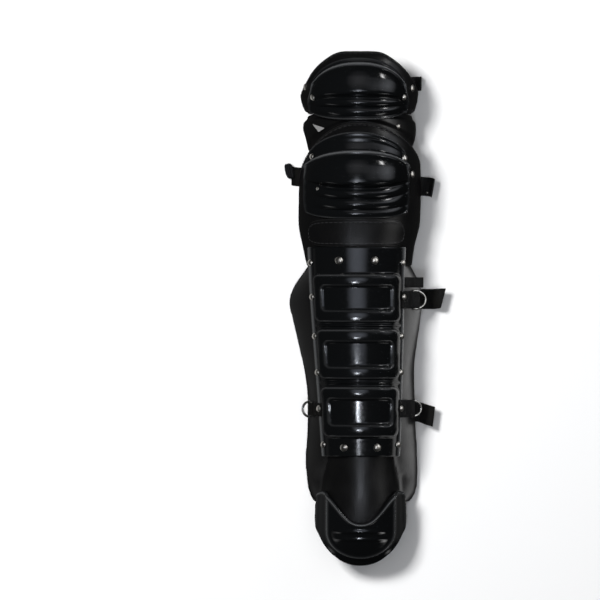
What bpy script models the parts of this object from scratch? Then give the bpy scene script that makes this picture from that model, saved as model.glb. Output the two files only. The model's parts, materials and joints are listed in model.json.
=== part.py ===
"""Baseball catcher's leg guard, lying on its back with its front up.

The thigh end points along +Y and the front of the guard along +Z. Padding stands on the floor on both
sides like an arch, moulded shells lie on the padding, and four webbing straps run behind the leg.
Sizes and places below are in millimetres. The guard is built about its own centre line, and the last
step moves all of it so that the origin is at the middle of its box, on the floor.
"""
from collections import namedtuple
from math import acos, copysign, cos, hypot, pi, radians, sin

import bmesh
import bpy
from mathutils import Matrix, Vector
from mathutils.bvhtree import BVHTree

MM = 0.001

# Walls and clearances
SHELL_WALL = 3.0
SHELL_LIFT = 4.6        # outside of a shell above the outside of its padding
PAD_WALL = 10.0
SHIN_PAD_WALL = 12.0
WING_WALL = 8.0
LINK_WALL = 4.0
GAP = 0.7               # between pieces that butt against each other
STRAP_WIDTH = 25.4
STRAP_WALL = 1.8
REST = 2.3              # the padding's lower edges stand this high, on the straps

# Padding: the arch at each place along the guard, by its half-widths, its height and how square it is
Section = namedtuple("Section", "y left right crown power")
THIGH_FORM = [
    Section(243, 66.0, 71.5, 95, 2.2),
    Section(262, 73.0, 76.0, 99, 2.2),
    Section(280, 72.5, 77.5, 98, 2.2),
    Section(305, 74.0, 77.0, 90, 2.2),
    Section(331, 74.0, 77.0, 72, 2.2),
]
LINK_FORM = [
    Section(184, 60.0, 66.5, 88, 2.2),
    Section(200, 62.0, 70.5, 89, 2.2),
    Section(213, 65.5, 74.0, 89, 2.2),
    Section(226, 69.0, 74.5, 88, 2.2),
    Section(243, 65.5, 71.5, 88, 2.2),
]
KNEE_FORM = [
    Section(50, 63.0, 70.5, 92, 2.4),
    Section(76, 68.0, 74.0, 94, 2.4),
    Section(100, 73.0, 80.5, 99, 2.3),
    Section(130, 73.0, 82.0, 107, 2.2),
    Section(172, 72.5, 82.0, 111, 2.2),
    Section(205, 72.0, 81.0, 103, 2.2),
    Section(232, 72.0, 80.0, 91, 2.2),
]
SHIN_FORM = [
    Section(-191, 54.5, 54.5, 83, 2.4),
    Section(-140, 57.5, 57.5, 87, 2.4),
    Section(-60, 62.5, 62.5, 92, 2.4),
    Section(30, 67.5, 68.5, 94, 2.4),
    Section(74, 69.5, 73.5, 95, 2.4),
]
FOOT_FORM = [
    Section(-331, 58.0, 58.0, 40, 2.2),
    Section(-310, 58.0, 58.0, 60, 2.2),
    Section(-285, 58.0, 58.0, 73, 2.2),
    Section(-256, 57.5, 57.5, 78, 2.2),
    Section(-215, 54.0, 54.0, 80, 2.2),
    Section(-180, 54.5, 54.5, 82, 2.3),
]

# Centre line: the guard bows a little to one side, like the leg in it
Sway = namedtuple("Sway", "y x")
CENTRE_LINE = [
    Sway(-331, 1.4),
    Sway(-190, 1.9),
    Sway(-100, 0.2),
    Sway(30, -3.2),
    Sway(172, -3.5),
    Sway(250, -1.5),
    Sway(331, -0.5),
]

# Plan outlines of the padding's ends, left and right half: each rises from its start at the side
Arch = namedtuple("Arch", "start rise power")
THIGH_TOP = [Arch(270, 60, 1.6), Arch(270, 60, 1.6)]
KNEE_TOP = [Arch(164, 68, 1.9), Arch(180, 52, 1.9)]
THIGH_TOP_LIMIT = 321   # the thigh's end is cut nearly straight here
TOE_END_START = -268    # the toe padding's sides end here, and the round end begins
TOE_END_RISE = 63
TOE_END_POWER = 1.15

LINK_TUCK = 10          # the link's sides run this far down inside the knee padding
LINK_TUCK_START = 0.78
OPENING_WIDTH = 17.0    # the link's three-sided opening, straight down through its left side
OPENING_LENGTH = 11.0
OPENING_DEPTH = 60.0
OPENING_AT = (-48, 226, 66)

THIGH_BOTTOM = 243
KNEE_BOTTOM = 50
SHIN_BOTTOM = -190.5
ANKLE_TOP = -181
TOE_TOP = -256

# Ribs of the shells: lines across a shell, from its lower to its upper edge. mid and end are the places
# of a line on the centre line and at the shell's side, spread and hook bend it between them (a hook of 0
# is an S-curve), reach is the half-width there, and lift and tip_lift raise it in the middle and at the
# side.
Rib = namedtuple("Rib", "mid end spread hook reach lift tip_lift")
THIGH_RIBS = [
    Rib(233.5, 250.0, 3.0, 2.0, 61.0, 0.0, 0.0),
    Rib(238.0, 251.5, 3.0, 2.0, 63.0, 0.6, 0.2),
    Rib(243.5, 253.0, 3.0, 1.8, 64.0, 3.4, 0.5),
    Rib(249.0, 254.5, 3.0, 1.6, 64.5, 0.6, 0.3),
    Rib(255.0, 256.0, 3.0, 1.4, 65.0, 3.8, 0.5),
    Rib(261.0, 258.0, 3.0, 1.4, 65.0, 0.8, 0.3),
    Rib(267.0, 260.0, 2.0, 1.8, 65.0, 5.5, 0.4),
    Rib(276.0, 261.0, 2.0, 1.8, 65.0, 9.0, 0.5),
    Rib(289.0, 262.5, 2.0, 2.0, 65.0, 9.5, 0.5),
    Rib(300.0, 263.5, 2.0, 2.0, 65.0, 6.0, 0.4),
    Rib(306.0, 264.5, 2.0, 2.0, 65.0, 1.4, 0.2),
    Rib(309.0, 265.5, 2.0, 2.0, 65.0, 2.6, 0.8),
    Rib(312.5, 267.0, 2.0, 2.0, 65.0, 0.0, 0.0),
]
KNEE_RIBS = [
    Rib(109.0, 122.0, 3.5, 2.0, 64.0, 0.0, 0.0),
    Rib(114.0, 125.0, 3.5, 1.8, 66.5, 3.0, 0.4),
    Rib(119.5, 131.0, 3.5, 1.6, 67.5, 0.6, 0.2),
    Rib(125.5, 139.0, 3.5, 1.5, 68.0, 4.0, 0.5),
    Rib(132.0, 147.0, 3.5, 1.4, 68.0, 0.8, 0.2),
    Rib(139.0, 154.0, 3.5, 1.4, 68.0, 4.4, 0.5),
    Rib(146.0, 161.0, 3.0, 1.4, 68.0, 1.0, 0.3),
    Rib(153.0, 166.0, 2.3, 1.5, 67.5, 7.0, 0.6),
    Rib(162.0, 169.0, 2.0, 1.8, 67.0, 11.0, 0.8),
    Rib(174.0, 172.0, 2.0, 2.0, 66.5, 12.5, 0.8),
    Rib(186.0, 175.0, 2.0, 2.0, 66.0, 9.5, 0.8),
    Rib(193.5, 178.0, 2.0, 2.0, 65.0, 3.0, 0.5),
    Rib(198.0, 180.0, 2.0, 2.0, 64.0, 1.4, 0.3),
    Rib(207.0, 182.0, 2.0, 2.0, 62.5, 2.0, 0.5),
    Rib(213.5, 183.5, 2.0, 2.0, 61.5, 4.2, 1.4),
    Rib(218.5, 185.5, 2.0, 2.0, 61.0, 0.0, 0.0),
]
BRIDGE_RIBS = [
    Rib(75.2, 84.0, 8.0, 2.0, 60.5, 0.0, 0.0),
    Rib(81.0, 87.0, 8.0, 1.5, 62.0, 0.0, 0.0),
    Rib(91.0, 92.0, 2.0, 1.0, 62.5, 0.0, 0.0),
    Rib(101.5, 97.0, 8.0, 1.5, 62.0, 0.0, 0.0),
    Rib(107.8, 100.0, 8.0, 2.0, 60.5, 0.0, 0.0),
]
TOE_RIBS = [
    Rib(-327.5, -262.0, 2.2, 2.0, 58.0, 0.0, 0.0),
    Rib(-322.0, -260.0, 2.2, 2.0, 58.3, 1.0, 0.0),
    Rib(-318.0, -257.0, 2.1, 2.0, 58.3, 3.6, 0.0),
    Rib(-309.0, -254.0, 2.0, 1.9, 58.0, 6.2, 0.0),
    Rib(-299.0, -251.0, 2.0, 1.8, 58.0, 4.6, 0.0),
    Rib(-294.0, -249.0, 2.0, 1.7, 58.0, 6.4, 0.0),
    Rib(-289.5, -246.0, 2.0, 1.6, 58.0, 4.6, 0.0),
    Rib(-285.0, -243.0, 2.4, 0, 57.5, 6.2, 0.0),
    Rib(-281.0, -239.0, 2.4, 0, 57.0, 4.6, 0.3),
    Rib(-277.0, -233.5, 2.4, 0, 56.0, 4.8, 1.0),
    Rib(-274.3, -230.0, 2.4, 0, 55.0, 2.5, 0.0),
]
CAP_COLUMNS = 9         # on each side of the centre line
CAP_SWEEP = 0.93        # share of a rib's full bend that the shell reaches at its sides

# Shin shell: half-width of its edge in plan, and its three framed windows
Edge = namedtuple("Edge", "y half")
SHIN_EDGE = [
    Edge(-256, 50.0),
    Edge(-215, 47.0),
    Edge(-190, 49.5),
    Edge(-100, 54.5),
    Edge(0, 59.5),
    Edge(74, 62.5),
]
Frame = namedtuple("Frame", "top window_top window_bottom bottom")
SHIN_FRAMES = [
    Frame(40.5, 23.0, -6.7, -20.0),
    Frame(-29.0, -46.0, -78.0, -91.0),
    Frame(-101.5, -118.5, -151.5, -165.0),
]
FRAME_LIFT = 4.6
BAR_LIFT = 6.0
WINDOW_LIFT = 0.8
STEP = 2.2              # length of a moulded step in plan
GROOVE_RIB_LIFT = 2.4
# Columns of the shin shell as shares of its half-width: share, and how far up the frame it stands
Column = namedtuple("Column", "share frame window")
SHIN_COLUMNS = [
    Column(0.0, 1.0, 1.0),
    Column(0.24, 1.0, 1.0),
    Column(0.48, 1.0, 1.0),
    Column(0.68, 1.0, 1.0),
    Column(0.73, 1.0, 0.0),
    Column(0.80, 1.0, 0.0),
    Column(0.86, 0.9, 0.0),
    Column(0.90, 0.0, 0.0),
    Column(0.95, 0.0, 0.0),
    Column(1.0, 0.0, 0.0),
]

# Wings: how far the flaps reach on the floor, to the left and to the right of the centre line
Reach = namedtuple("Reach", "y left right")
WING_REACH = [
    Reach(-251, 58.5, 61.5),
    Reach(-238, 65.5, 70.5),
    Reach(-220, 69.5, 73.5),
    Reach(-190, 70.5, 73.0),
    Reach(-155, 68.0, 71.5),
    Reach(-112, 67.0, 71.0),
    Reach(-80, 70.5, 71.0),
    Reach(-50, 76.5, 75.5),
    Reach(-15, 83.5, 81.5),
    Reach(5, 87.0, 83.5),
    Reach(25, 80.0, 82.0),
    Reach(49.3, 62.5, 70.5),
]
WING_TUCK = 8.0         # the wing starts this far up under the shin shell's edge
WING_NECK = 11.0        # and leaves the padding's arch this far below its start
WING_INSET = 0.3        # it lies this far inside the arch
FOOT_WING_ROOT = 43.0   # height of the wing's start beside the foot
FOOT_WING_START = -222
SHIN_WING_END = -186
WING_STATIONS = [0.0, 0.14, 0.28, 0.42, 0.56, 0.7, 0.85, 1.0]
WING_ROUND = 1.35
NECK = 0.28             # share of the wing's stations that lies under the shell

# Rivets: domed heads on the shells and the padding
RIVET_RADIUS = 5.0
RIVET_RISE = 2.4
RIVET_GAP = 0.35
ABOVE_ALL = 200         # a height above every piece
SHIN_SIDE_RIVETS = [54.2, 11.0, -38.5, -84.2, -129.9, -175.6]
SIDE_RIVET_INSET = 3.0
TAB_RIVET_INSET = 0.6
SIDE_RIVET_RADIUS = 4.0
TABS_UNDER_RIVETS = {(1, 2): "calf_tab", (1, 5): "ankle_tab", (-1, 5): "ankle_tab_left"}


def along(rows, y):
    """The table's columns at y, on a smooth curve through its rows."""
    y = min(max(y, rows[0].y), rows[-1].y)
    last = len(rows) - 2
    index = next((i for i in range(last) if y < rows[i + 1].y), last)
    low, high = rows[index], rows[index + 1]
    before, after = rows[max(index - 1, 0)], rows[min(index + 2, len(rows) - 1)]
    span = high.y - low.y
    t = (y - low.y) / span
    values = []
    for a, b, c, d in zip(before, low, high, after):
        start = (c - a) / (high.y - before.y) * span
        finish = (d - b) / (after.y - low.y) * span
        values.append((2 * t**3 - 3 * t**2 + 1) * b + (t**3 - 2 * t**2 + t) * start
                      + (3 * t**2 - 2 * t**3) * c + (t**3 - t**2) * finish)
    return type(low)(*values)


def place(x, y, z):
    """A point given from the centre line and the padding's lower edge, in the guard's frame."""
    return Vector((x + along(CENTRE_LINE, y).x, y, z + REST)) * MM


def half_of(section, x):
    """Half-width of an arch on the side of x."""
    return section.right if x > 0 else section.left


def arch_point(form, u, y, inset=0.0):
    """A point of the padding's arch: u runs from -1 at one foot to 1 at the other."""
    section = along(form, y)
    angle = abs(u) * pi / 2
    x = copysign((half_of(section, u) - inset) * sin(angle) ** (2 / section.power), u)
    z = (section.crown - inset) * max(cos(angle), 0.0) ** (2 / section.power)
    return place(x, y, z)


def height_at(form, x, y, lift=0.0):
    """Height of the arch over the point x of its plan."""
    section = along(form, y)
    share = min(abs(x) / (half_of(section, x) + lift), 1.0)
    return (section.crown + lift) * (1 - share ** section.power) ** (1 / section.power)


def width_at(form, side, z, y):
    """Half-width of the arch on one side at the height z."""
    section = along(form, y)
    share = min(z / section.crown, 1.0)
    return half_of(section, side) * (1 - share ** section.power) ** (1 / section.power)


def share_at(form, z, y):
    """The u at which the arch comes down to the height z."""
    section = along(form, y)
    return acos(min(z / section.crown, 1.0) ** (section.power / 2)) * 2 / pi


def shell_point(form, x, y, lift=0.0, base=SHELL_LIFT):
    """A point on the outside of a shell, raised along its normal by lift, and the normal."""
    step = 0.5
    slope_x = (height_at(form, x + step, y, base) - height_at(form, x - step, y, base)) / (2 * step)
    slope_y = (height_at(form, x, y + step, base) - height_at(form, x, y - step, base)) / (2 * step)
    normal = Vector((-slope_x, -slope_y, 1)).normalized()
    point = Vector((x, y, height_at(form, x, y, base))) + normal * lift
    return place(*point), normal


def material(name, colour, roughness, metallic=0.0):
    """A plain Principled material."""
    mat = bpy.data.materials.new(name)
    mat.use_nodes = True
    shader = mat.node_tree.nodes["Principled BSDF"]
    shader.inputs["Base Color"].default_value = (*colour, 1)
    shader.inputs["Roughness"].default_value = roughness
    shader.inputs["Metallic"].default_value = metallic
    return mat


def add_part(name, bm, finish, smooth=35):
    """Turn a bmesh into a named part of the guard."""
    mesh = bpy.data.meshes.new(name)
    bm.to_mesh(mesh)
    bm.free()
    mesh.shade_smooth()
    mesh.set_sharp_from_angle(angle=radians(smooth))
    mesh.materials.append(FINISHES[finish])
    part = bpy.data.objects.new(name, mesh)
    GUARD.objects.link(part)
    part.parent = FRAME
    return part


def grid_of(bm, columns, rows, point):
    """A grid of faces, its corners moved to point(column, row)."""
    count = len(columns)
    grid = bmesh.ops.create_grid(bm, x_segments=count - 1, y_segments=len(rows) - 1, size=1)["verts"]
    for number, vert in enumerate(grid):
        vert.co = point(columns[number % count], rows[number // count])
    return grid


def solid_sheet(name, columns, rows, point, wall, finish, offset=-1.0):
    """A sheet with a wall thickness: a grid and a Solidify modifier."""
    bm = bmesh.new()
    grid_of(bm, columns, rows, point)
    part = add_part(name, bm, finish)
    thick = part.modifiers.new("wall", "SOLIDIFY")
    thick.thickness = wall * MM
    thick.offset = offset
    return part


def padded_wall(name, columns, rows, outer, inner, finish):
    """A padded wall between two skins, closed round its edge."""
    bm = bmesh.new()
    grid_of(bm, columns, rows, outer)
    inside = grid_of(bm, columns, rows, inner)
    faces = {face for vert in inside for face in vert.link_faces}
    bmesh.ops.reverse_faces(bm, faces=list(faces))
    rim = [edge for edge in bm.edges if edge.is_boundary]
    bmesh.ops.bridge_loops(bm, edges=rim)
    bmesh.ops.recalc_face_normals(bm, faces=bm.faces)
    return add_part(name, bm, finish)


def spread_columns(count):
    """Columns across a cap, closer together towards both sides."""
    return [sin(CAP_SWEEP * pi / 2 * i / count) for i in range(-count, count + 1)]


def even(count, low=0.0, high=1.0):
    return [low + (high - low) * i / count for i in range(count + 1)]


def arch_line(top, form, x):
    """Plan outline of a padding's rounded end, at x from the centre line."""
    arch = top[x > 0]
    share = min(abs(x) / half_of(along(form, arch.start), x), 1.0)
    return arch.start + arch.rise * (1 - share ** arch.power) ** (1 / arch.power)


def arch_x(form, u, y, inset=0.0):
    """Place of the arch's point u in plan, signed."""
    section = along(form, y)
    reach = (half_of(section, u) - inset) * sin(abs(u) * pi / 2) ** (2 / section.power)
    return copysign(reach, u)


def cut_straight(y, limit, softness=4.0):
    """The smaller of y and the limit, with a soft corner between them."""
    corner = max(softness - abs(y - limit), 0) / softness
    return min(y, limit) - corner * corner * softness / 4


def padding(name, form, low, high, wall, columns=12, rows=5):
    """Arched padding between the two plan lines low(u) and high(u)."""
    def skin(inset):
        def point(u, t):
            y = low(u) + (high(u) - low(u)) * t
            return arch_point(form, u, y, inset)
        return point
    return padded_wall(name, even(columns, -1, 1), even(rows), skin(0), skin(wall), "vinyl")


def thigh_pad():
    def high(u):
        x = arch_x(THIGH_FORM, u, THIGH_TOP[0].start)
        return cut_straight(arch_line(THIGH_TOP, THIGH_FORM, x), THIGH_TOP_LIMIT)
    padding("thigh_pad", THIGH_FORM, lambda u: THIGH_BOTTOM, high, PAD_WALL, 14, 5)


def thigh_link():
    """Thin band between the thigh's and the knee's padding, with an opening on its left."""
    top = THIGH_BOTTOM - GAP

    def skin(inset):
        def point(u, t):
            low = LINK_FORM[1].y
            for _ in range(6):      # where the band's inside meets the knee padding's end
                low = arch_line(KNEE_TOP, KNEE_FORM, arch_x(LINK_FORM, u, low, LINK_WALL)) + GAP
            low -= LINK_TUCK * max(abs(u) - LINK_TUCK_START, 0) / (1 - LINK_TUCK_START)
            return arch_point(LINK_FORM, u, low + (top - low) * t, inset)
        return point
    link = padded_wall("thigh_link", even(16, -1, 1), even(3), skin(0), skin(LINK_WALL), "vinyl")
    opening = bpy.data.meshes.new("link_opening")
    bm = bmesh.new()
    bmesh.ops.create_cone(bm, cap_ends=True, segments=3, radius1=1, radius2=1, depth=OPENING_DEPTH * MM)
    bmesh.ops.rotate(bm, matrix=Matrix.Rotation(radians(-90), 3, "Z"), verts=bm.verts)
    bmesh.ops.scale(bm, vec=(OPENING_WIDTH / 2 * MM, OPENING_LENGTH / 2 * MM, 1), verts=bm.verts)
    bmesh.ops.translate(bm, vec=place(*OPENING_AT), verts=bm.verts)
    bm.to_mesh(opening)
    bm.free()
    cutter = bpy.data.objects.new("link_opening", opening)
    cutter.hide_render = True
    cutter.display_type = "WIRE"
    CUTTERS.objects.link(cutter)
    cutter.parent = FRAME
    cut = link.modifiers.new("opening", "BOOLEAN")
    cut.object = cutter
    cut.solver = "EXACT"


def knee_pad():
    def high(u):
        return arch_line(KNEE_TOP, KNEE_FORM, arch_x(KNEE_FORM, u, KNEE_TOP[u > 0].start))
    padding("knee_pad", KNEE_FORM, lambda u: KNEE_BOTTOM, high, PAD_WALL, 14, 7)


def wing_root(y):
    """Height at which a wing starts: under the shin shell's edge, and lower beside the foot."""
    edge = height_at(SHIN_FORM, along(SHIN_EDGE, y).half, y, SHELL_LIFT)
    share = min(max((SHIN_WING_END - y) / (SHIN_WING_END - FOOT_WING_START), 0), 1)
    smooth = share * share * (3 - 2 * share)
    return (edge + WING_TUCK) * (1 - smooth) + FOOT_WING_ROOT * smooth


def wing_start(side, z, y):
    """Half-width of the wings at the height z: on the shin's arch, and on the foot's beyond it."""
    share = min(max((SHIN_WING_END - y) / (SHIN_WING_END - FOOT_WING_START), 0), 1)
    shin, foot = width_at(SHIN_FORM, side, z, y), width_at(FOOT_FORM, side, z, y)
    return shin * (1 - share) + foot * share - WING_INSET


def shin_pad():
    """Padding under the shin shell, between the two wings."""
    def skin(inset):
        def point(k, y):
            limit = share_at(SHIN_FORM, wing_root(y) + 7, y)
            return arch_point(SHIN_FORM, k * limit, y, inset)
        return point
    low = ANKLE_TOP + GAP
    high = KNEE_BOTTOM - GAP
    padded_wall("shin_pad", even(10, -1, 1), even(6, low, high), skin(0), skin(SHIN_PAD_WALL), "vinyl")


def ankle_pad():
    """Soft instep pad, from under the shin shell to under the toe cap."""
    def skin(inset):
        def point(k, y):
            return arch_point(FOOT_FORM, k * share_at(FOOT_FORM, wing_root(y) + 4, y), y, inset)
        return point
    padded_wall("ankle_pad", even(10, -1, 1), even(5, TOE_TOP + GAP, ANKLE_TOP), skin(0),
                skin(PAD_WALL), "vinyl")


def toe_pad():
    def low(u):
        return TOE_END_START - TOE_END_RISE * max(cos(abs(u) * pi / 2), 0.0) ** TOE_END_POWER
    padding("toe_pad", FOOT_FORM, low, lambda u: TOE_TOP, 8.0, 14, 5)


def cap(name, form, ribs, finish, base=SHELL_LIFT, wall=SHELL_WALL):
    """A moulded shell lofted through its ribs."""
    def point(s, rib):
        if rib.hook:
            bend = 1 - (1 - abs(s) ** rib.spread) ** (1 / rib.hook)
        else:
            bend = sin(abs(s) * pi / 2) ** rib.spread
        y = rib.mid + (rib.end - rib.mid) * bend
        lift = rib.tip_lift + (rib.lift - rib.tip_lift) * (1 - s * s)
        return shell_point(form, s * rib.reach, y, lift, base)[0]
    return solid_sheet(name, spread_columns(CAP_COLUMNS), ribs, point, wall, finish)


def shin_rows():
    """Rows of the shin shell from its lower to its upper edge: y, frame height and window depth."""
    Row = namedtuple("Row", "y frame window")
    rows = [Row(74, 0, 0), Row(58, 0, 0)]
    for number, frame in enumerate(SHIN_FRAMES):
        rows += [
            Row(frame.top + STEP, 0, 0),
            Row(frame.top, FRAME_LIFT, 0),
            Row(frame.window_top + 9, FRAME_LIFT - 1, 0),
            Row(frame.window_top + 5.5, BAR_LIFT, 0),
            Row(frame.window_top + 1, FRAME_LIFT, 0),
            Row(frame.window_top - STEP, FRAME_LIFT, 1),
            Row(frame.window_bottom + STEP, FRAME_LIFT, 1),
            Row(frame.window_bottom, FRAME_LIFT, 0),
            Row(frame.window_bottom - 7, BAR_LIFT, 0),
            Row(frame.bottom, FRAME_LIFT - 1, 0),
            Row(frame.bottom - STEP, 0, 0),
        ]
        if number < len(SHIN_FRAMES) - 1:
            middle = (frame.bottom + SHIN_FRAMES[number + 1].top) / 2
            rows.append(Row(middle, GROOVE_RIB_LIFT, 0))
    rows += [Row(-178, 0, 0), Row(SHIN_BOTTOM, 0, 0)]
    return rows[::-1]


def shin_shell():
    columns = [column._replace(share=-column.share) for column in SHIN_COLUMNS[:0:-1]] + SHIN_COLUMNS

    def point(column, row):
        x = column.share * along(SHIN_EDGE, row.y).half
        lift = row.frame * column.frame
        if row.window and column.window:
            lift = WINDOW_LIFT
        return shell_point(SHIN_FORM, x, row.y, lift)[0]
    solid_sheet("shin_shell", columns, shin_rows(), point, SHELL_WALL, "shell")


def wing_outline(side, q, y):
    """The wing's section from under the shell (q = 0) down to the floor (q = 1): x and z."""
    top = wing_root(y)
    neck = top - WING_NECK
    reach = along(WING_REACH, y).right if side > 0 else along(WING_REACH, y).left
    if q <= NECK:
        z = top + (neck - top) * q / NECK
        return wing_start(side, z, y), z
    angle = (q - NECK) / (1 - NECK) * pi / 2
    start = wing_start(side, neck, y)
    x = start + (reach - start) * sin(angle) ** (2 / WING_ROUND)
    return x, neck * max(cos(angle), 0.0) ** (2 / WING_ROUND)


def wing(name, side):
    step = 0.01

    def skin(inset):
        def point(q, y):
            x, z = wing_outline(side, q, y)
            x0, z0 = wing_outline(side, max(q - step, 0), y)
            x1, z1 = wing_outline(side, min(q + step, 1), y)
            length = hypot(x1 - x0, z1 - z0)
            out_x, out_z = (z0 - z1) / length, (x1 - x0) / length
            if q >= 1:
                out_x, out_z = 1, 0
            return place(side * (x - out_x * inset), y, z - out_z * inset)
        return point
    rows = even(14, WING_REACH[0].y, WING_REACH[-1].y)
    padded_wall(name, WING_STATIONS, rows, skin(0), skin(WING_WALL), "vinyl")


def strap(name, points, width=STRAP_WIDTH, wall=STRAP_WALL):
    """Webbing along points of x, y, z and the turn of its width from +Y, in degrees."""
    def point(side, row):
        turn = radians(row.turn)
        half = side * width / 2
        return Vector((row.x - sin(turn) * half, row.y + cos(turn) * half, row.z)) * MM
    bm = bmesh.new()
    grid_of(bm, [1, -1], points, point)
    part = add_part(name, bm, "webbing")
    thick = part.modifiers.new("wall", "SOLIDIFY")
    thick.thickness = wall * MM
    thick.offset = 1.0
    thick.use_even_offset = True
    return part


Fold = namedtuple("Fold", "x y z turn")


def straps():
    """Four straps behind the leg: flat on the floor, with their ends turned up beside the guard."""
    strap("thigh_strap", [
        Fold(-66, 275, 0, 0), Fold(0, 279, 0, 0), Fold(74, 282, 0, 0),
        Fold(77.8, 282, 0.6, 0), Fold(79, 282, 4, 0), Fold(79.4, 282, 12, 0),
    ], 18)
    strap("knee_strap", [
        Fold(-86, 165, 2, 0), Fold(-80, 164, 0, 0), Fold(0, 158, 0, 0), Fold(76, 152, 0, 0),
        Fold(83, 151.5, 1, 0), Fold(89, 151, 5, 0), Fold(93, 150, 11, -6), Fold(94.5, 149, 18, -10),
    ], 24)
    strap("calf_strap", [
        Fold(-62, 6, 0, 0), Fold(0, 8, 0, 0), Fold(81, 8.5, 0, 0), Fold(86.5, 8.5, 1.5, 0),
        Fold(91.5, 8.5, 6, 0), Fold(96, 8.5, 13, 0), Fold(101, 9, 18, 0), Fold(107, 9.5, 20, -14),
    ])
    strap("ankle_strap", [
        Fold(-58, -132, 0, 0), Fold(0, -131, 0, 0), Fold(73.5, -130.5, 0, 0), Fold(79.5, -131, 2, 0),
        Fold(84, -132.5, 8, -8), Fold(88.5, -135.5, 14, -16), Fold(94, -140.5, 18, -28),
    ])


def ring(name, centre, width, depth, wire, tilt, turn=0.0):
    """A D-ring: a straight bar towards the guard and a round bow away from it."""
    curve = bpy.data.curves.new(name, "CURVE")
    curve.dimensions = "3D"
    curve.bevel_depth = wire / 2 * MM
    curve.bevel_resolution = 1
    spline = curve.splines.new("POLY")
    corner = 2.5
    bow = [(0, -width / 2), (corner, -width / 2)]
    for step in range(1, 8):
        angle = -pi / 2 + pi * step / 8
        bow.append((corner + (depth - corner) * cos(angle), width / 2 * sin(angle)))
    bow += [(corner, width / 2), (0, width / 2)]
    spline.points.add(len(bow) - 1)
    for spot, (x, y) in zip(spline.points, bow):
        spot.co = (x * MM, y * MM, 0, 1)
    spline.use_cyclic_u = True
    curve.materials.append(FINISHES["steel"])
    part = bpy.data.objects.new(name, curve)
    part.location = Vector(centre) * MM
    part.rotation_euler = (0, radians(tilt), radians(turn))
    GUARD.objects.link(part)
    part.parent = FRAME


def tab(name, y, width, path, side=1, wall=2.6):
    """Folded webbing over the shell's edge, along points of x from the centre line and height."""
    def point(edge, spot):
        return place(side * spot[0], y, spot[1]) + Vector((0, edge * width / 2 * MM, 0))
    bm = bmesh.new()
    grid_of(bm, [side, -side], path, point)
    part = add_part(name, bm, "webbing")
    thick = part.modifiers.new("wall", "SOLIDIFY")
    thick.thickness = wall * MM
    thick.offset = 1.0
    thick.use_even_offset = True


def rivet(name, location, normal, radius=RIVET_RADIUS):
    """A domed head standing on a surface."""
    bm = bmesh.new()
    bmesh.ops.create_uvsphere(bm, u_segments=8, v_segments=4, radius=radius * MM)
    everything = bm.verts[:] + bm.edges[:] + bm.faces[:]
    cut = bmesh.ops.bisect_plane(bm, geom=everything, plane_co=(0, 0, 0.2 * MM), plane_no=(0, 0, 1),
                                 clear_inner=True)
    rim = [piece for piece in cut["geom_cut"] if isinstance(piece, bmesh.types.BMEdge)]
    bmesh.ops.contextual_create(bm, geom=rim)
    bmesh.ops.scale(bm, vec=(1, 1, RIVET_RISE / radius), verts=bm.verts)
    bmesh.ops.recalc_face_normals(bm, faces=bm.faces)
    part = add_part(name, bm, "nickel", 60)
    part.location = location + normal * RIVET_GAP * MM
    part.rotation_euler = normal.to_track_quat("Z", "Y").to_euler()


Rivet = namedtuple("Rivet", "name on x y radius")
CAP_RIVETS = [
    Rivet("rivet_thigh_right", "thigh_shell", 58.5, 262.0, 3.6),
    Rivet("rivet_thigh_left", "thigh_shell", -58.5, 262.0, 3.6),
    Rivet("rivet_thigh_pad_right", "thigh_pad", 69.5, 275.0, 4.6),
    Rivet("rivet_thigh_pad_left", "thigh_pad", -67.0, 277.0, 4.6),
    Rivet("rivet_knee_right", "knee_shell", 59.0, 184.0, 4.2),
    Rivet("rivet_knee_left", "knee_shell", -56.0, 188.0, 4.0),
    Rivet("rivet_knee_pad_right", "knee_pad", 71.0, 166.0, 4.6),
    Rivet("rivet_knee_small", "knee_shell", -49.0, 147.5, 2.4),
    Rivet("link_snap", "thigh_link", 51.5, 226.0, 3.6),
    Rivet("knee_strap_rivet", "knee_strap", 90.0, 143.5, 1.8),
    Rivet("rivet_shin_top_left", "shin_shell", -22.6, 57.0, RIVET_RADIUS),
    Rivet("rivet_shin_top_right", "shin_shell", 22.6, 57.0, RIVET_RADIUS),
    Rivet("rivet_shin_bottom_left", "shin_shell", -21.5, -179.0, RIVET_RADIUS),
    Rivet("rivet_shin_bottom_right", "shin_shell", 20.5, -179.0, RIVET_RADIUS),
]


def surface_under(name, x, y, radius):
    """Where a rivet's underside rests on a part at x, y, and the direction that it faces."""
    graph = bpy.context.evaluated_depsgraph_get()
    tree = BVHTree.FromObject(bpy.data.objects[name], graph)
    spot, normal, _, _ = tree.ray_cast(place(x, y, ABOVE_ALL), Vector((0, 0, -1)))
    across = normal.orthogonal().normalized() * radius * MM
    highest = 0.0
    for step in range(8):
        rim = spot + Matrix.Rotation(step * pi / 4, 3, normal) @ across
        found, _, _, _ = tree.ray_cast(rim + normal * radius * MM, -normal)
        if found:
            highest = max(highest, (found - spot).dot(normal))
    return spot + normal * highest, normal


def rivets():
    bpy.context.view_layer.update()
    for spec in CAP_RIVETS:
        spot, normal = surface_under(spec.on, spec.x, spec.y, spec.radius)
        rivet(spec.name, spot, normal, spec.radius)
    for number, y in enumerate(SHIN_SIDE_RIVETS, 1):
        for side, word in ((-1, "left"), (1, "right")):
            tab_under = TABS_UNDER_RIVETS.get((side, number))
            inset = TAB_RIVET_INSET if tab_under else SIDE_RIVET_INSET
            x = side * (along(SHIN_EDGE, y).half - inset)
            spot, normal = surface_under(tab_under or "shin_shell", x, y, SIDE_RIVET_RADIUS)
            rivet("rivet_side_%s_%d" % (word, number), spot, normal, SIDE_RIVET_RADIUS)


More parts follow.
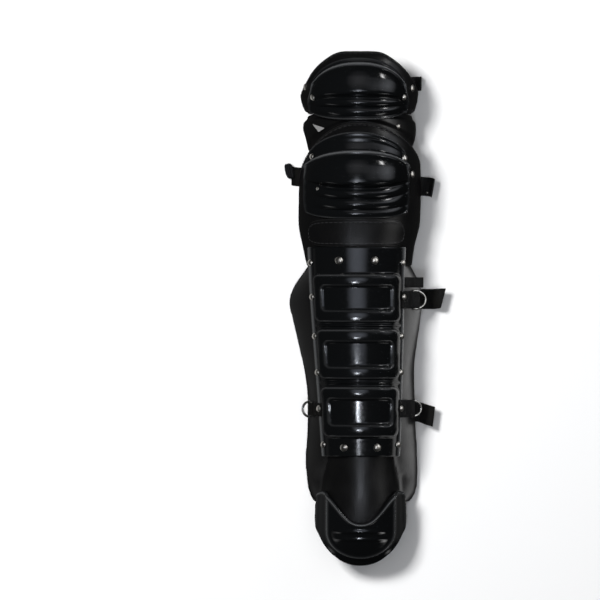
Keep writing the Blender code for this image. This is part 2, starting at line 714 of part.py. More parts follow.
def hardware():
    """Tabs, rings and clips on the sides of the guard."""
    def over_edge(y, ring_x, ring_z, fold_x):
        edge = along(SHIN_EDGE, y).half
        spots = []
        for inset in (5.2, 2.6, 0.2):
            x = edge - inset
            spots.append((x + 0.6, height_at(SHIN_FORM, x, y, SHELL_LIFT) + 0.7))
        low = height_at(SHIN_FORM, edge, y, SHELL_LIFT)
        return spots + [(edge + 3.5, low - 1.5), (ring_x, ring_z + 3.5), (fold_x, ring_z - 3)]

    tab("calf_tab", 7.5, 22, over_edge(7.5, 71, 44, 80))
    ring("calf_ring", (72.0, 7.5, 41.5), 23, 18, 3.2, 28)
    tab("calf_keeper", 28.5, 13, over_edge(28.5, 74, 44, 84))
    tab("ankle_tab", -130, 22, over_edge(-130, 62, 42, 68))
    ring("ankle_ring", (65.5, -130, 38.5), 22, 16, 3.0, 30)
    tab("ankle_tab_left", -131, 16, over_edge(-131, 60, 40, 64), -1)
    ring("ankle_ring_left", (-61.5, -131, 37), 19, 12, 2.6, 35, 180)


def clip():
    """Plastic clip at the knee strap's left end."""
    bm = bmesh.new()
    bmesh.ops.create_cube(bm, size=1)
    bmesh.ops.scale(bm, vec=(10 * MM, 19 * MM, 5 * MM), verts=bm.verts)
    bmesh.ops.bevel(bm, geom=bm.edges[:], offset=1.4 * MM, segments=1, profile=0.5, affect="EDGES")
    body = add_part("knee_clip", bm, "clip")
    body.location = Vector((-92.0, 167, 6.5)) * MM
    body.rotation_euler = (0, radians(18), radians(8))


def stand_on_floor():
    """Move the guard so that the origin is under the middle of its box."""
    bpy.context.view_layer.update()
    graph = bpy.context.evaluated_depsgraph_get()
    low, high = Vector((1, 1, 1)), Vector((-1, -1, -1))
    for part in GUARD.objects:
        if part.type not in {"MESH", "CURVE"}:
            continue
        mesh = part.evaluated_get(graph).to_mesh()
        for vert in mesh.vertices:
            spot = part.matrix_world @ vert.co
            low = Vector(map(min, low, spot))
            high = Vector(map(max, high, spot))
    FRAME.location = Vector((-(low.x + high.x) / 2, -(low.y + high.y) / 2, -low.z))


for old in list(bpy.data.objects):
    bpy.data.objects.remove(old)
GUARD = bpy.data.collections.new("catcher_leg_guard")
CUTTERS = bpy.data.collections.new("cutters")
for group in (GUARD, CUTTERS):
    bpy.context.scene.collection.children.link(group)
FRAME = bpy.data.objects.new("guard_frame", None)
GUARD.objects.link(FRAME)
FINISHES = {
    "shell": material("gloss black shell", (0.008, 0.009, 0.010), 0.08),
    "vinyl": material("matte black vinyl", (0.020, 0.020, 0.021), 0.55),
    "webbing": material("black webbing", (0.010, 0.010, 0.011), 0.80),
    "nickel": material("nickel", (0.62, 0.61, 0.58), 0.25, 1.0),
    "steel": material("plated steel", (0.55, 0.55, 0.55), 0.22, 1.0),
    "clip": material("black clip plastic", (0.012, 0.012, 0.013), 0.35),
}

thigh_pad()
thigh_link()
knee_pad()
shin_pad()
ankle_pad()
toe_pad()
wing("wing_left", -1)
wing("wing_right", 1)
cap("thigh_shell", THIGH_FORM, THIGH_RIBS, "shell")
cap("knee_shell", KNEE_FORM, KNEE_RIBS, "shell")
cap("bridge_pad", KNEE_FORM, BRIDGE_RIBS, "vinyl", 4.1, 3.4)
cap("toe_shell", FOOT_FORM, TOE_RIBS, "shell")
shin_shell()
straps()
hardware()
clip()
rivets()
stand_on_floor()
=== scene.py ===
import json
from math import cos, pi, radians, sin

import bmesh
import bpy
import numpy as np
from mathutils import Matrix, Vector
from mathutils.bvhtree import BVHTree
from mathutils.kdtree import KDTree

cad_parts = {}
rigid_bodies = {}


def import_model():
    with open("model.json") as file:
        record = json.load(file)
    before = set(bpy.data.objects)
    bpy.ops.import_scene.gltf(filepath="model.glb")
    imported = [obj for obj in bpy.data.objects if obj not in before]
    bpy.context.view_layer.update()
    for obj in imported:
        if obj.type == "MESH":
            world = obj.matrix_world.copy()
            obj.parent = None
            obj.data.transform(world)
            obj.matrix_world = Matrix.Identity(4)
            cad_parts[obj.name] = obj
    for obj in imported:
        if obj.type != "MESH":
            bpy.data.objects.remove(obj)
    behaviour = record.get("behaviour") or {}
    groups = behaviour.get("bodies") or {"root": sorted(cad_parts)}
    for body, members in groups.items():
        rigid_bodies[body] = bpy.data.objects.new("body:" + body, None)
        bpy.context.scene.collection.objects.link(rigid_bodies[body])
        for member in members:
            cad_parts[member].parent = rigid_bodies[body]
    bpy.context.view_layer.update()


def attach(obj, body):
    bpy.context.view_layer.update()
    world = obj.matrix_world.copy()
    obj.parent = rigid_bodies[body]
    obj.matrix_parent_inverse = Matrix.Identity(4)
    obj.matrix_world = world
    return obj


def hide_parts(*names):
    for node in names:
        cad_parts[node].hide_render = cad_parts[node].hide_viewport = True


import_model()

# Catcher's leg guard on its back: +Y towards the thigh, +Z out of its front. Tables are in millimetres,
# measured from the guard's own centre line, which bows a little to one side.
mm = 0.001
shift = (-5.95, 5.0)  # from the guard's own frame to the middle of its box
standing = 2.3  # the padding stands on the straps at this height
centreLine = [(-331, 1.4), (-190, 1.9), (-100, 0.2), (30, -3.2), (172, -3.5), (250, -1.5), (331, -0.5)]
shellLift = 4.6  # outside of a shell above the outside of its padding
gap = 0.7
rims = {}  # line round the rim of each walled piece, and the way its skin faces


def along(table, y):  # a table's columns at y, on a smooth curve through its rows
    rows = np.array(table, float)
    place, values = rows[:, 0], rows[:, 1:]
    y = np.clip(np.asarray(y, float), place[0], place[-1])
    low = np.clip(np.searchsorted(place, y, side="right") - 1, 0, len(place) - 2)
    before, after = np.maximum(low - 1, 0), np.minimum(low + 2, len(place) - 1)
    span = (place[low + 1] - place[low])[..., None]
    t = (y - place[low])[..., None] / span
    a, b, c, d = values[before], values[low], values[low + 1], values[after]
    start = (c - a) / (place[low + 1] - place[before])[..., None] * span
    finish = (d - b) / (place[after] - place[low])[..., None] * span
    curve = ((2 * t**3 - 3 * t**2 + 1) * b + (t**3 - 2 * t**2 + t) * start
             + (3 * t**2 - 2 * t**3) * c + (t**3 - t**2) * finish)
    return np.moveaxis(curve, -1, 0)


def halfOf(form, x, y):  # half-width on the side that x lies on
    left, right = along(form, y)[:2]
    return np.where(x > 0, right, left)


def archHeight(form, x, y, lift=0.0):
    crown, power = along(form, y)[2:]
    share = np.clip(np.abs(x) / (halfOf(form, x, y) + lift), 0, 1)
    return (crown + lift) * (1 - share ** power) ** (1 / power)


def archX(form, u, y, inset=0.0):  # u runs over the arch from -1 to 1
    power = along(form, y)[3]
    return np.sign(u) * (halfOf(form, u, y) - inset) * np.sin(np.abs(u) * pi / 2) ** (2 / power)


def archPoint(form, u, y):
    crown, power = along(form, y)[2:]
    x = archX(form, u, y)
    return np.stack([x, y + 0 * x, crown * np.clip(np.cos(np.abs(u) * pi / 2), 0, 1) ** (2 / power)], -1)


def widthAt(form, side, z, y):
    crown, power = along(form, y)[2:]
    share = np.clip(z / crown, 0, 1)
    return halfOf(form, side, y) * (1 - share ** power) ** (1 / power)


def shareAt(form, z, y):  # the u at which the arch comes down to the height z
    crown, power = along(form, y)[2:]
    return np.arccos(np.clip(z / crown, 0, 1) ** (power / 2)) * 2 / pi


def ramp(value, width):  # 0 to 1 across the width, softly
    t = np.clip(value / width + 0.5, 0, 1)
    return t * t * (3 - 2 * t)


def ridge(value, width):  # a rounded ridge
    return np.exp(-2 * (value / width) ** 2)


def outside(x, y, halfX, halfY, corner):  # distance outside a rounded rectangle
    qx, qy = np.abs(x) - halfX + corner, np.abs(y) - halfY + corner
    return np.hypot(np.maximum(qx, 0), np.maximum(qy, 0)) + np.minimum(np.maximum(qx, qy), 0) - corner


def crowd(low, high, coarse, fine, reach, spots=()):  # places that stand closer near the ends and spots
    steps = 4000
    places = np.linspace(low, high, steps + 1)
    density = np.full(steps + 1, 1 / coarse)
    for spot in (low, high, *spots):
        density = np.maximum(density, np.exp(-(np.abs(places - spot) / reach) ** 3) / fine)
    total = np.concatenate([[0], np.cumsum((density[1:] + density[:-1]) / 2) * (high - low) / steps])
    return np.interp(np.linspace(0, total[-1], int(total[-1]) + 2), total, places)


def unit(vectors):
    return vectors / np.maximum(np.linalg.norm(vectors, axis=-1, keepdims=True), 1e-9)


def normalsOf(points):  # of a grid of points
    return unit(np.cross(np.gradient(points, axis=1), np.gradient(points, axis=0)))


def looped(points):  # a closed line's points, with the first one again at its end
    return np.concatenate([points, points[:1]])


def runLength(points):  # the distance gone along a line at each of its points
    return np.concatenate([[0], np.linalg.norm(np.diff(points, axis=0), axis=1).cumsum()])


def inGuard(points):  # from the centre line's millimetres to metres
    sway = along(centreLine, points[..., 1])[0]
    return (points + np.stack([sway + shift[0], 0 * sway + shift[1], 0 * sway + standing], -1)) * mm


def onFloor(points):  # from the guard's own frame to metres
    return (points + np.array([shift[0], shift[1], 0.0])) * mm


def addObject(name, data):
    made = bpy.data.objects.new(name, data)
    bpy.context.scene.collection.objects.link(made)
    return made


def meshFrom(name, bm):
    mesh = bpy.data.meshes.new(name)
    bm.to_mesh(mesh)
    bm.free()
    return mesh


def addPiece(name, bm, finish, stands, smooth=40, outwards=True):
    if outwards:
        bmesh.ops.recalc_face_normals(bm, faces=bm.faces)
    mesh = meshFrom(name, bm)
    mesh.shade_smooth()
    mesh.set_sharp_from_angle(angle=radians(smooth))
    mesh.materials.append(finish)
    piece = addObject(name, mesh)
    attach(piece, "root")
    if stands:
        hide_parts(*stands)
    return piece


def applyModifiers(piece):
    graph = bpy.context.evaluated_depsgraph_get()
    made = bpy.data.meshes.new_from_object(piece.evaluated_get(graph))
    piece.modifiers.clear()
    old, piece.data = piece.data, made
    made.shade_smooth()
    made.set_sharp_from_angle(angle=radians(40))
    name = old.name
    bpy.data.meshes.remove(old)
    made.name = name


def gridMesh(bm, points, marks=None):  # a grid of faces through rows of points, marks become its UV
    rows, columns = points.shape[:2]
    made = bmesh.ops.create_grid(bm, x_segments=columns - 1, y_segments=rows - 1, size=1)["verts"]
    for vert, spot in zip(made, points.reshape(-1, 3)):
        vert.co = spot
    if marks is not None:
        layer = bm.loops.layers.uv.verify()
        mark = dict(zip(made, marks.reshape(-1, 2)))
        for face in {face for vert in made for face in vert.link_faces}:
            for loop in face.loops:
                loop[layer].uv = mark[loop.vert]
    return made


def edgeDistance(points):  # of each point of a grid from the grid's border
    across = np.pad(np.linalg.norm(np.diff(points, axis=1), axis=-1).cumsum(axis=1), ((0, 0), (1, 0)))
    up = np.pad(np.linalg.norm(np.diff(points, axis=0), axis=-1).cumsum(axis=0), ((1, 0), (0, 0)))
    return np.minimum(np.minimum(across, across[:, -1:] - across), np.minimum(up, up[-1:] - up))


def borderOf(grid):  # once round a grid's border
    return np.concatenate([grid[0], grid[1:, -1], grid[-1, -2::-1], grid[-2:0:-1, 0]])


def wallPiece(name, points, facing, wall, finish, stands, rounding, marks=None):
    # A wall under the given skin: both skins bend to meet half way down at a rounded rim.
    near = np.clip(1 - edgeDistance(points) / rounding, 0, 1)
    deep = np.broadcast_to(wall, near.shape)
    tuck = (deep / 2 * (1 - np.sqrt(1 - near ** 2)))[..., None]
    bm = bmesh.new()
    gridMesh(bm, inGuard(points - facing * tuck), marks)
    inside = gridMesh(bm, inGuard(points - facing * (deep[..., None] - tuck)))
    bmesh.ops.reverse_faces(bm, faces=list({face for vert in inside for face in vert.link_faces}))
    rim = [vert for vert in bm.verts if vert.is_boundary]
    bmesh.ops.remove_doubles(bm, verts=rim, dist=0.02 * mm)
    rims[name] = borderOf(inGuard(points - facing * deep[..., None] / 2)), borderOf(facing)
    return addPiece(name, bm, finish, stands, outwards=False)


def sweep(bm, path, side, up, section, closed=False):
    # A section of (side, up) points drawn along a path, its ends closed; V is in millimetres along it.
    section = looped(section)
    if closed:
        path, side, up = looped(path), looped(side), looped(up)
    points = path[:, None] + side[:, None] * section[None, :, :1] + up[:, None] * section[None, :, 1:]
    made = gridMesh(bm, points, np.stack(np.meshgrid(runLength(section), runLength(path) / mm), -1))
    rim = [vert for vert in made if vert.is_boundary]
    bmesh.ops.remove_doubles(bm, verts=rim, dist=0.001 * mm)
    ends = [edge for edge in bm.edges if edge.is_boundary]
    if ends:
        bmesh.ops.holes_fill(bm, edges=ends)


def ellipse(halfWide, halfTall, count=12, power=2.0):
    angle = np.linspace(0, 2 * pi, count, endpoint=False)
    ways = np.stack([np.cos(angle), np.sin(angle)], -1)
    return np.array([halfWide, halfTall]) * np.sign(ways) * np.abs(ways) ** (2 / power)


# Materials

def linear(hexColour):  # sRGB hex to linear RGB
    parts = [int(hexColour[i:i + 2], 16) / 255 for i in (1, 3, 5)]
    return [p / 12.92 if p <= 0.04045 else ((p + 0.055) / 1.055) ** 2.4 for p in parts] + [1.0]


def addNode(tree, kind, links=None, inputs=None, output=0, **settings):
    # Adds a node with its links, values and settings, and gives back one of its outputs.
    node = tree.nodes.new("ShaderNode" + kind)
    for name, value in settings.items():
        setattr(node, name, value)
    for name, value in (inputs or {}).items():
        node.inputs[name].default_value = value
    for target, source in (links or {}).items():
        tree.links.new(source, node.inputs[target])
    return node.outputs[output]


def newMaterial(name, colour, roughness, metallic=0.0, ior=1.5):
    material = bpy.data.materials.new(name)
    material.use_nodes = True
    shader = material.node_tree.nodes["Principled BSDF"]
    for socket, value in (("Base Color", linear(colour)), ("Roughness", roughness), ("Metallic", metallic),
                          ("IOR", ior)):
        shader.inputs[socket].default_value = value
    return material, material.node_tree, shader


def feed(shader, **sources):  # links patterns to the shader's colour, roughness or bump
    sockets = {"colour": "Base Color", "roughness": "Roughness", "bump": "Normal"}
    for name, source in sources.items():
        shader.id_data.links.new(source, shader.inputs[sockets[name]])


def clouded(material, tree, shader, noise, rough=None, raised=None):
    # A noise, given by its scale and detail, spreads the roughness over a range and raises the surface.
    place = addNode(tree, "TexCoord", output="Object")
    cloud = addNode(tree, "TexNoise", {"Vector": place}, {"Scale": noise[0], "Detail": noise[1]}, "Fac")
    if rough:
        spread = {1: 0.3, 2: 0.7, 3: rough[0], 4: rough[1]}
        feed(shader, roughness=addNode(tree, "MapRange", {0: cloud}, spread))
    if raised:
        height = {"Strength": raised[0], "Distance": raised[1]}
        feed(shader, bump=addNode(tree, "Bump", {"Height": cloud}, height))
    return material, cloud, place


def mouldedShell():  # injection moulded polyethylene off a polished mould: deep gloss, with highlight lines painted paler along its raised edges
    material, tree, shader = newMaterial("moulded gloss polyethylene", "#08090a", 0.12)
    place = clouded(material, tree, shader, (70, 2), raised=(0.1, 0.0006))[2]  # swells of 14 mm
    wear = addNode(tree, "TexNoise", {"Vector": place}, {"Scale": 260, "Detail": 5}, "Fac")  # scuffs of 4 mm
    paintedGlint = addNode(tree, "SeparateXYZ", {0: addNode(tree, "UVMap")})  # U is 1 on raised edges, where the painted highlight lines lie
    gloss = addNode(tree, "MapRange", {0: wear}, {1: 0.35, 2: 0.75, 3: 0.1, 4: 0.19})
    tones = {6: linear("#08090a"), 7: linear("#4a4b4c")}
    feed(shader, colour=addNode(tree, "Mix", {0: paintedGlint}, tones, 2, data_type="RGBA"),
         roughness=addNode(tree, "Math", {0: paintedGlint, 2: gloss}, {1: 0.22}, operation="MULTIPLY_ADD"))
    return material


def paddedVinyl():  # PVC leather over foam, embossed: matt black in patches of 22 mm, pebble grain of 1.2 mm
    material, tree, shader = newMaterial("embossed black vinyl", "#0a0a0b", 0.35)
    cloud, place = clouded(material, tree, shader, (45, 4), rough=(0.28, 0.4))[1:]
    grain = addNode(tree, "TexVoronoi", {"Vector": place}, {"Scale": 830}, "Distance", feature="SMOOTH_F1")
    tones = {6: linear("#070708"), 7: linear("#0e0e0e")}
    feed(shader, colour=addNode(tree, "Mix", {0: cloud}, tones, 2, data_type="RGBA"),
         bump=addNode(tree, "Bump", {"Height": grain}, {"Strength": 0.3, "Distance": 0.0004}))
    return material


def wovenWebbing():  # polypropylene webbing, woven in ribs of 1.3 mm across it
    material, tree, shader = newMaterial("woven polypropylene webbing", "#0c0b0a", 0.7)
    ahead = addNode(tree, "SeparateXYZ", {0: addNode(tree, "UVMap")}, output=1)
    turn = addNode(tree, "Math", {0: ahead}, {1: 2 * pi / 1.3}, operation="MULTIPLY")
    rib = addNode(tree, "Math", {0: turn}, operation="SINE")
    share = addNode(tree, "MapRange", {0: rib}, {1: -1, 2: 1, 3: 0, 4: 1})
    tones = {6: linear("#070706"), 7: linear("#131211")}
    feed(shader, colour=addNode(tree, "Mix", {0: share}, tones, 2, data_type="RGBA"),
         bump=addNode(tree, "Bump", {"Height": rib}, {"Strength": 0.6, "Distance": 0.0003}))
    return material


shellGloss = mouldedShell()
vinyl = paddedVinyl()
# smooth vinyl tape, tighter and shinier than the padding's face, in ripples of 6 mm; painted paler than the
# padding as a sheen, so the piped edges show as light lines
binding = newMaterial("smooth vinyl binding", "#161616", 0.34)
binding = clouded(*binding, (180, 3), (0.28, 0.42), (0.25, 0.0005))[0]
webbing = wovenWebbing()
# pressed steel heads, nickel plated: bright with fine wear in spots of 1.1 mm
nickel = clouded(*newMaterial("nickel plated steel", "#cfccc6", 0.22, 1.0), (900, 4), (0.24, 0.42))[0]
# drawn steel wire, zinc plated: a soft mirror with marks of 1.7 mm
steel = clouded(*newMaterial("zinc plated steel wire", "#c2c2c0", 0.2, 1.0), (600, 4), (0.14, 0.38))[0]
# acetal out of a spark-eroded mould: satin black, its grain of 0.7 mm drawn coarse enough to show
acetal = clouded(*newMaterial("satin moulded acetal", "#121213", 0.35), (1400, 2), raised=(0.2, 0.0002))[0]
thread = newMaterial("bonded polyester thread", "#2a2a2b", 0.5)[0]  # black with a dull shine
print("materials made")


# Shells: the arch of the padding under them, raised by their relief

def profileOf(table, place, softness):  # a polyline's height at each place, its corners rounded
    fine = np.arange(table[0][0] - 10, table[-1][0] + 10, 0.1)
    height = np.interp(fine, [row[0] for row in table], [row[1] for row in table])
    reach = np.arange(-4 * softness, 4 * softness + 0.1, 0.1)
    weight = np.exp(-reach ** 2 / (2 * softness ** 2))
    height = np.convolve(np.pad(height, len(reach) // 2, mode="edge"), weight / weight.sum(), "valid")
    return np.interp(place, fine, height[:len(fine)])


def humpsAt(humps, place):  # rounded ribs that meet in sharp valleys
    height = 0.0 * place
    for low, high, rise in humps:
        share = np.clip((place - low) / (high - low), 0, 1) * 2 - 1
        height = height + rise * (1 - share * share)
    return height


def capPlan(outline, across, up):  # a cap's plan through its lines, and their places on its middle
    table = [(number, *row) for number, row in enumerate(outline)]
    s, t = np.meshgrid(across, up)
    mid, end, spread, hook, reach = along(table, t)
    bend = np.where(hook > 0.5, 1 - (1 - np.abs(s) ** spread) ** (1 / np.maximum(hook, 0.5)),
                    np.sin(np.abs(s) * pi / 2) ** spread)
    return s * reach, mid + (end - mid) * bend, s, mid


def shellWall(name, top, x, y, lift, paintedGlint, wall, finish, stands, rounding=1.5):
    # A wall whose outside is the surface top(x, y), raised by its relief; it thickens a little where raised.
    # Its U carries the painted highlight lines.
    step, thicker = 0.25, 0.35
    facing = unit(np.stack([(top(x - step, y) - top(x + step, y)) / (2 * step),
                            (top(x, y - step) - top(x, y + step)) / (2 * step), 0 * x + 1], -1))
    skin = np.stack([x, y, top(x, y)], -1) + facing * lift[..., None]
    return wallPiece(name, skin, facing, wall + thicker * lift, finish, stands, rounding,
                     np.stack([paintedGlint, 0 * paintedGlint], -1))


caps = {
    "thigh": {
        "form": [(243, 66, 71.5, 95, 2.2), (262, 73, 76, 99, 2.2), (280, 72.5, 77.5, 98, 2.2),
                 (305, 74, 77, 90, 2.2), (331, 74, 77, 72, 2.2)],  # y, left, right, crown, squareness
        # lines across: middle, side, bend, hook and half-width
        "outline": [(233.5, 250, 3, 2, 61), (238, 251.5, 3, 2, 63), (243.5, 253, 3, 1.8, 64),
                    (249, 254.5, 3, 1.6, 64.5), (255, 256, 3, 1.4, 65), (261, 258, 3, 1.4, 65),
                    (267, 259.5, 2.2, 1.8, 64.5), (276, 261, 2.2, 1.9, 63.5), (289, 262.5, 2.2, 2.1, 62),
                    (300, 264.5, 2.2, 2.2, 60.5), (306, 266.5, 2.2, 2.2, 59.5), (309, 268.5, 2.2, 2.2, 59),
                    (312.5, 271, 2.2, 2.2, 58)],
        # relief down the middle: place and height
        "relief": [(233.5, 0), (261.5, 0.6), (264.5, 3), (267, 7.6), (269.5, 8.6), (277, 8.2), (287, 7.2),
                   (295, 5.2), (299.5, 2.8), (302, 0.7), (312.5, 0.3)],
        "humps": [(238.2, 249.7, 3.6), (249.7, 261.3, 3.9)],  # from, to and height
        # raised lines across: place, height, width and painted highlight
        "beads": [(304.4, 1.9, 3.4, 0.9), (311, 1.4, 2.8, 0.15), (235, 1.2, 2.6, 0.3)],
    },
    "knee": {
        "form": [(50, 63, 70.5, 92, 2.4), (76, 68, 74, 94, 2.4), (100, 73, 80.5, 99, 2.3),
                 (130, 73, 82, 107, 2.2), (172, 72.5, 82, 111, 2.2), (205, 72, 81, 103, 2.2),
                 (232, 72, 80, 91, 2.2)],
        "outline": [(109, 122, 3.5, 2, 64), (114, 125, 3.5, 1.8, 66.5), (119.5, 131, 3.5, 1.6, 67.5),
                    (125.5, 139, 3.5, 1.5, 68), (132, 147, 3.5, 1.4, 68), (139, 154, 3.5, 1.4, 68),
                    (146, 159, 3, 1.4, 68), (153, 162.5, 2.3, 1.5, 67.5), (162, 164.5, 2, 1.8, 67.5),
                    (174, 166, 2.1, 2, 67), (186, 168, 2.2, 2, 67), (193.5, 170.5, 2.2, 2, 66.5),
                    (198, 173.5, 2.2, 2, 65.5), (207, 178, 2.1, 2, 63.5), (213.5, 181.5, 2, 2, 62),
                    (218.5, 184.5, 2, 2, 61)],
        "relief": [(109, 0), (147, 0.6), (150.3, 3.6), (152.7, 11), (155.2, 12.6), (159, 12.2), (167, 10.8),
                   (176, 8.6), (184, 5.6), (188.5, 2.6), (191, 0.8), (203, 0.9), (206.3, 1.2), (209.8, 3.2),
                   (212.3, 2.2), (215, 4), (218.5, 0.5)],
        "humps": [(109.5, 120.3, 2.8), (120.3, 133.8, 3.9), (133.8, 147, 4.4)],
        "beads": [(192.9, 2.1, 3.4, 0.9), (217.2, 1.4, 2.8, 0.5), (110.5, 1, 2.6, 0.3)],
    },
    "toe": {
        "form": [(-331, 58, 58, 40, 2.2), (-310, 58, 58, 60, 2.2), (-285, 58, 58, 73, 2.2),
                 (-256, 57.5, 57.5, 78, 2.2), (-215, 54, 54, 80, 2.2), (-180, 54.5, 54.5, 82, 2.3)],
        "outline": [(-327.5, -262, 2.2, 2, 58), (-322, -260, 2.2, 2, 58.3), (-318, -257, 2.1, 2, 58.3),
                    (-309, -254, 2, 1.9, 58), (-299, -251, 2, 1.8, 58), (-294, -249, 2, 1.7, 58),
                    (-289.5, -246, 2, 1.6, 58), (-285, -243, 2.4, 0, 57.5), (-281, -239, 2.4, 0, 57),
                    (-277, -233.5, 2.4, 0, 56), (-274.3, -230, 2.4, 0, 55)],
        "dome": (41.5, 32.5, -285), "domeLift": 2.2, "domeStep": 5,
        "beadLift": 2, "beadWidth": 2.9, "beadFade": (-235, 30),
        "ribs": [-284.5, -294], "ribLift": 1.3, "ribWidth": 3, "ribHalf": (27, 16),
        # the last pair below: how strongly highlight lines are painted on the dome's bead and on the hem
        "topHem": (2.4, 2.5), "startFade": (5, 10), "rubs": (0.7, 0.8),
        "corner": (9, 0.8, 15),  # upper corners: how far cut back, from which share of the width, how soon
    },
    "wall": 3, "softness": 0.9, "sweep": 0.93, "columns": 110, "spacing": (0.09, 0.03, 0.2), "sideFade": 2.6,
    "hem": {"half": 65, "inset": 2.6, "width": 2.8, "lift": 1.5},  # raised line down each side
    # highlight lines painted on the side hems: strength and how much more near the upper bead, then the reach
    # and fades of that growth
    "hemRub": (0.12, 0.6), "paintedGlintReach": 38, "paintedGlintFade": (28, 3),
}


def toeRelief(x, y, mid):  # a raised middle, round at the toe, with two ribs across it
    toe = caps["toe"]
    wide, tall, start = toe["dome"]
    inset, width = toe["topHem"]
    fadeFrom, fade = toe["beadFade"]
    edge = (np.hypot(x / wide, np.minimum(y - start, 0) / tall) - 1) * tall
    line = ridge(edge, toe["beadWidth"]) * ramp(fadeFrom - y, fade)
    hem = ridge(mid - toe["outline"][-1][0] + inset, width)
    lift = toe["domeLift"] * (1 - ramp(edge, toe["domeStep"])) + toe["beadLift"] * line
    half, fade = toe["ribHalf"]
    across = 1 - ramp(np.abs(x) - half, fade)
    for place in toe["ribs"]:
        lift = lift + toe["ribLift"] * ridge(y - place, toe["ribWidth"]) * across
    start, fade = toe["startFade"]
    lift = lift * ramp(mid - toe["outline"][0][0] - start, fade) + caps["hem"]["lift"] * hem
    # the second value is the highlight painted on the bead and the hem
    return lift, np.maximum(toe["rubs"][0] * line ** 3, toe["rubs"][1] * hem ** 3)


def capShell(name, key, stands):
    data = caps[key]
    across = np.sin(np.linspace(-1, 1, caps["columns"]) * caps["sweep"] * pi / 2)
    up = crowd(0, len(data["outline"]) - 1, *caps["spacing"])
    x, y, s, mid = capPlan(data["outline"], across, up)
    share, top = np.abs(s) / np.max(s), data["outline"][-1][0]
    hemRub, paintedGlintMore = caps["hemRub"]
    if key == "toe":
        drop, start, fade = data["corner"]
        y = y - drop * ramp(mid - top + fade, fade) * np.clip((share - start) / (1 - start), 0, 1) ** 2
        lift, paintedGlint = toeRelief(x, y, mid)
    else:
        lift = profileOf(data["relief"], mid, caps["softness"]) + humpsAt(data["humps"], mid)
        lift, paintedGlint = lift * (1 - np.abs(s) ** caps["sideFade"]), 0 * x
        for place, height, width, pale in data["beads"]:
            bead = ridge(mid - place, width)
            lift, paintedGlint = lift + height * bead, np.maximum(paintedGlint, pale * bead ** 3)
        # the upper bead's painted highlight runs down into the side hem
        crest, (fade, end) = data["beads"][0][0], caps["paintedGlintFade"]
        hemRub = hemRub + paintedGlintMore * ramp(mid - crest + caps["paintedGlintReach"], fade) * ramp(crest + end - mid, end)
    hem = ridge((1 - share) * caps["hem"]["half"] - caps["hem"]["inset"], caps["hem"]["width"])
    shellWall(name, lambda x, y: archHeight(data["form"], x, y, shellLift), x, y,
              lift + caps["hem"]["lift"] * hem, np.maximum(paintedGlint, hemRub * hem ** 2), caps["wall"], shellGloss,
              stands)


for capName, capKey in (("thighCap", "thigh"), ("kneeCap", "knee"), ("toeCap", "toe")):
    capShell(capName, capKey, [capKey + "_shell"])

shin = {
    "form": [(-191, 54.5, 54.5, 83, 2.4), (-140, 57.5, 57.5, 87, 2.4), (-60, 62.5, 62.5, 92, 2.4),
             (30, 67.5, 68.5, 94, 2.4), (74, 69.5, 73.5, 95, 2.4)],
    "edge": [(-256, 50), (-215, 47), (-190, 49.5), (-100, 54.5), (0, 59.5), (74, 62.5)],
    "bottom": -190.5, "top": 74, "wall": 3,
    # each frame's top, its window's top and bottom, and the frame's bottom, at the middle of their steps
    "frames": [(39.4, 25, -5.6, -20.6), (-30, -45.4, -76.8, -92.2), (-102.4, -117.6, -149.8, -165.4)],
    "frameLift": 4.6, "frameShare": 0.875, "frameCorner": 7, "frameSteps": (6, 4.2),  # upper and lower step
    "windowLift": 0.8, "windowShare": 0.705, "windowCorner": 5, "windowSteps": (4.6, 5.6),
    "barLift": 0.8, "bars": ((-7, 8), (7.5, 9)),  # the frame's crests above and below its window
    "grooveRibs": [-25, -97.2], "grooveRibLift": 2.2, "grooveRibWidth": 2, "grooveRibEnd": (0.9, 0.06),
    "beadShare": 0.955, "beadLift": 1.5, "beadWidth": 3, "rimShare": 0.97,
    # highlight lines painted along the frames' and windows' edges: strength and how far out, and their width
    "frameRub": (0.4, 1), "windowRub": (0.16, -1), "paintedGlintWidth": 1.8,
    "flareStart": 0.86, "flare": 1.5, "flarePower": 1.6,
    "spacing": (3, 0.45, 4), "spacingAcross": (0.045, 0.008, 0.05),
}


def shinFlare(x, y):  # the shell's edges turn up a little towards level
    share = (np.abs(x) / along(shin["edge"], y)[0] - shin["flareStart"]) / (1 - shin["flareStart"])
    return shin["flare"] * np.clip(share, 0, 2) ** shin["flarePower"]


def shinTop(x, y):  # height of the shin shell's outside without its relief
    return archHeight(shin["form"], x, y, shellLift) + shinFlare(x, y)


def shinBox(x, y, half, kind, top, bottom):  # 1 inside a frame or a window, and the highlight line painted along its edge
    middle = (top + bottom) / 2
    away = outside(x, y - middle, shin[kind + "Share"] * half, (top - bottom) / 2, shin[kind + "Corner"])
    pale, out = shin[kind + "Rub"]
    upper, lower = shin[kind + "Steps"]
    inside = ramp(-away, np.where(y > middle, upper, lower))
    return inside, pale * ridge(away + out, shin["paintedGlintWidth"]) ** 2


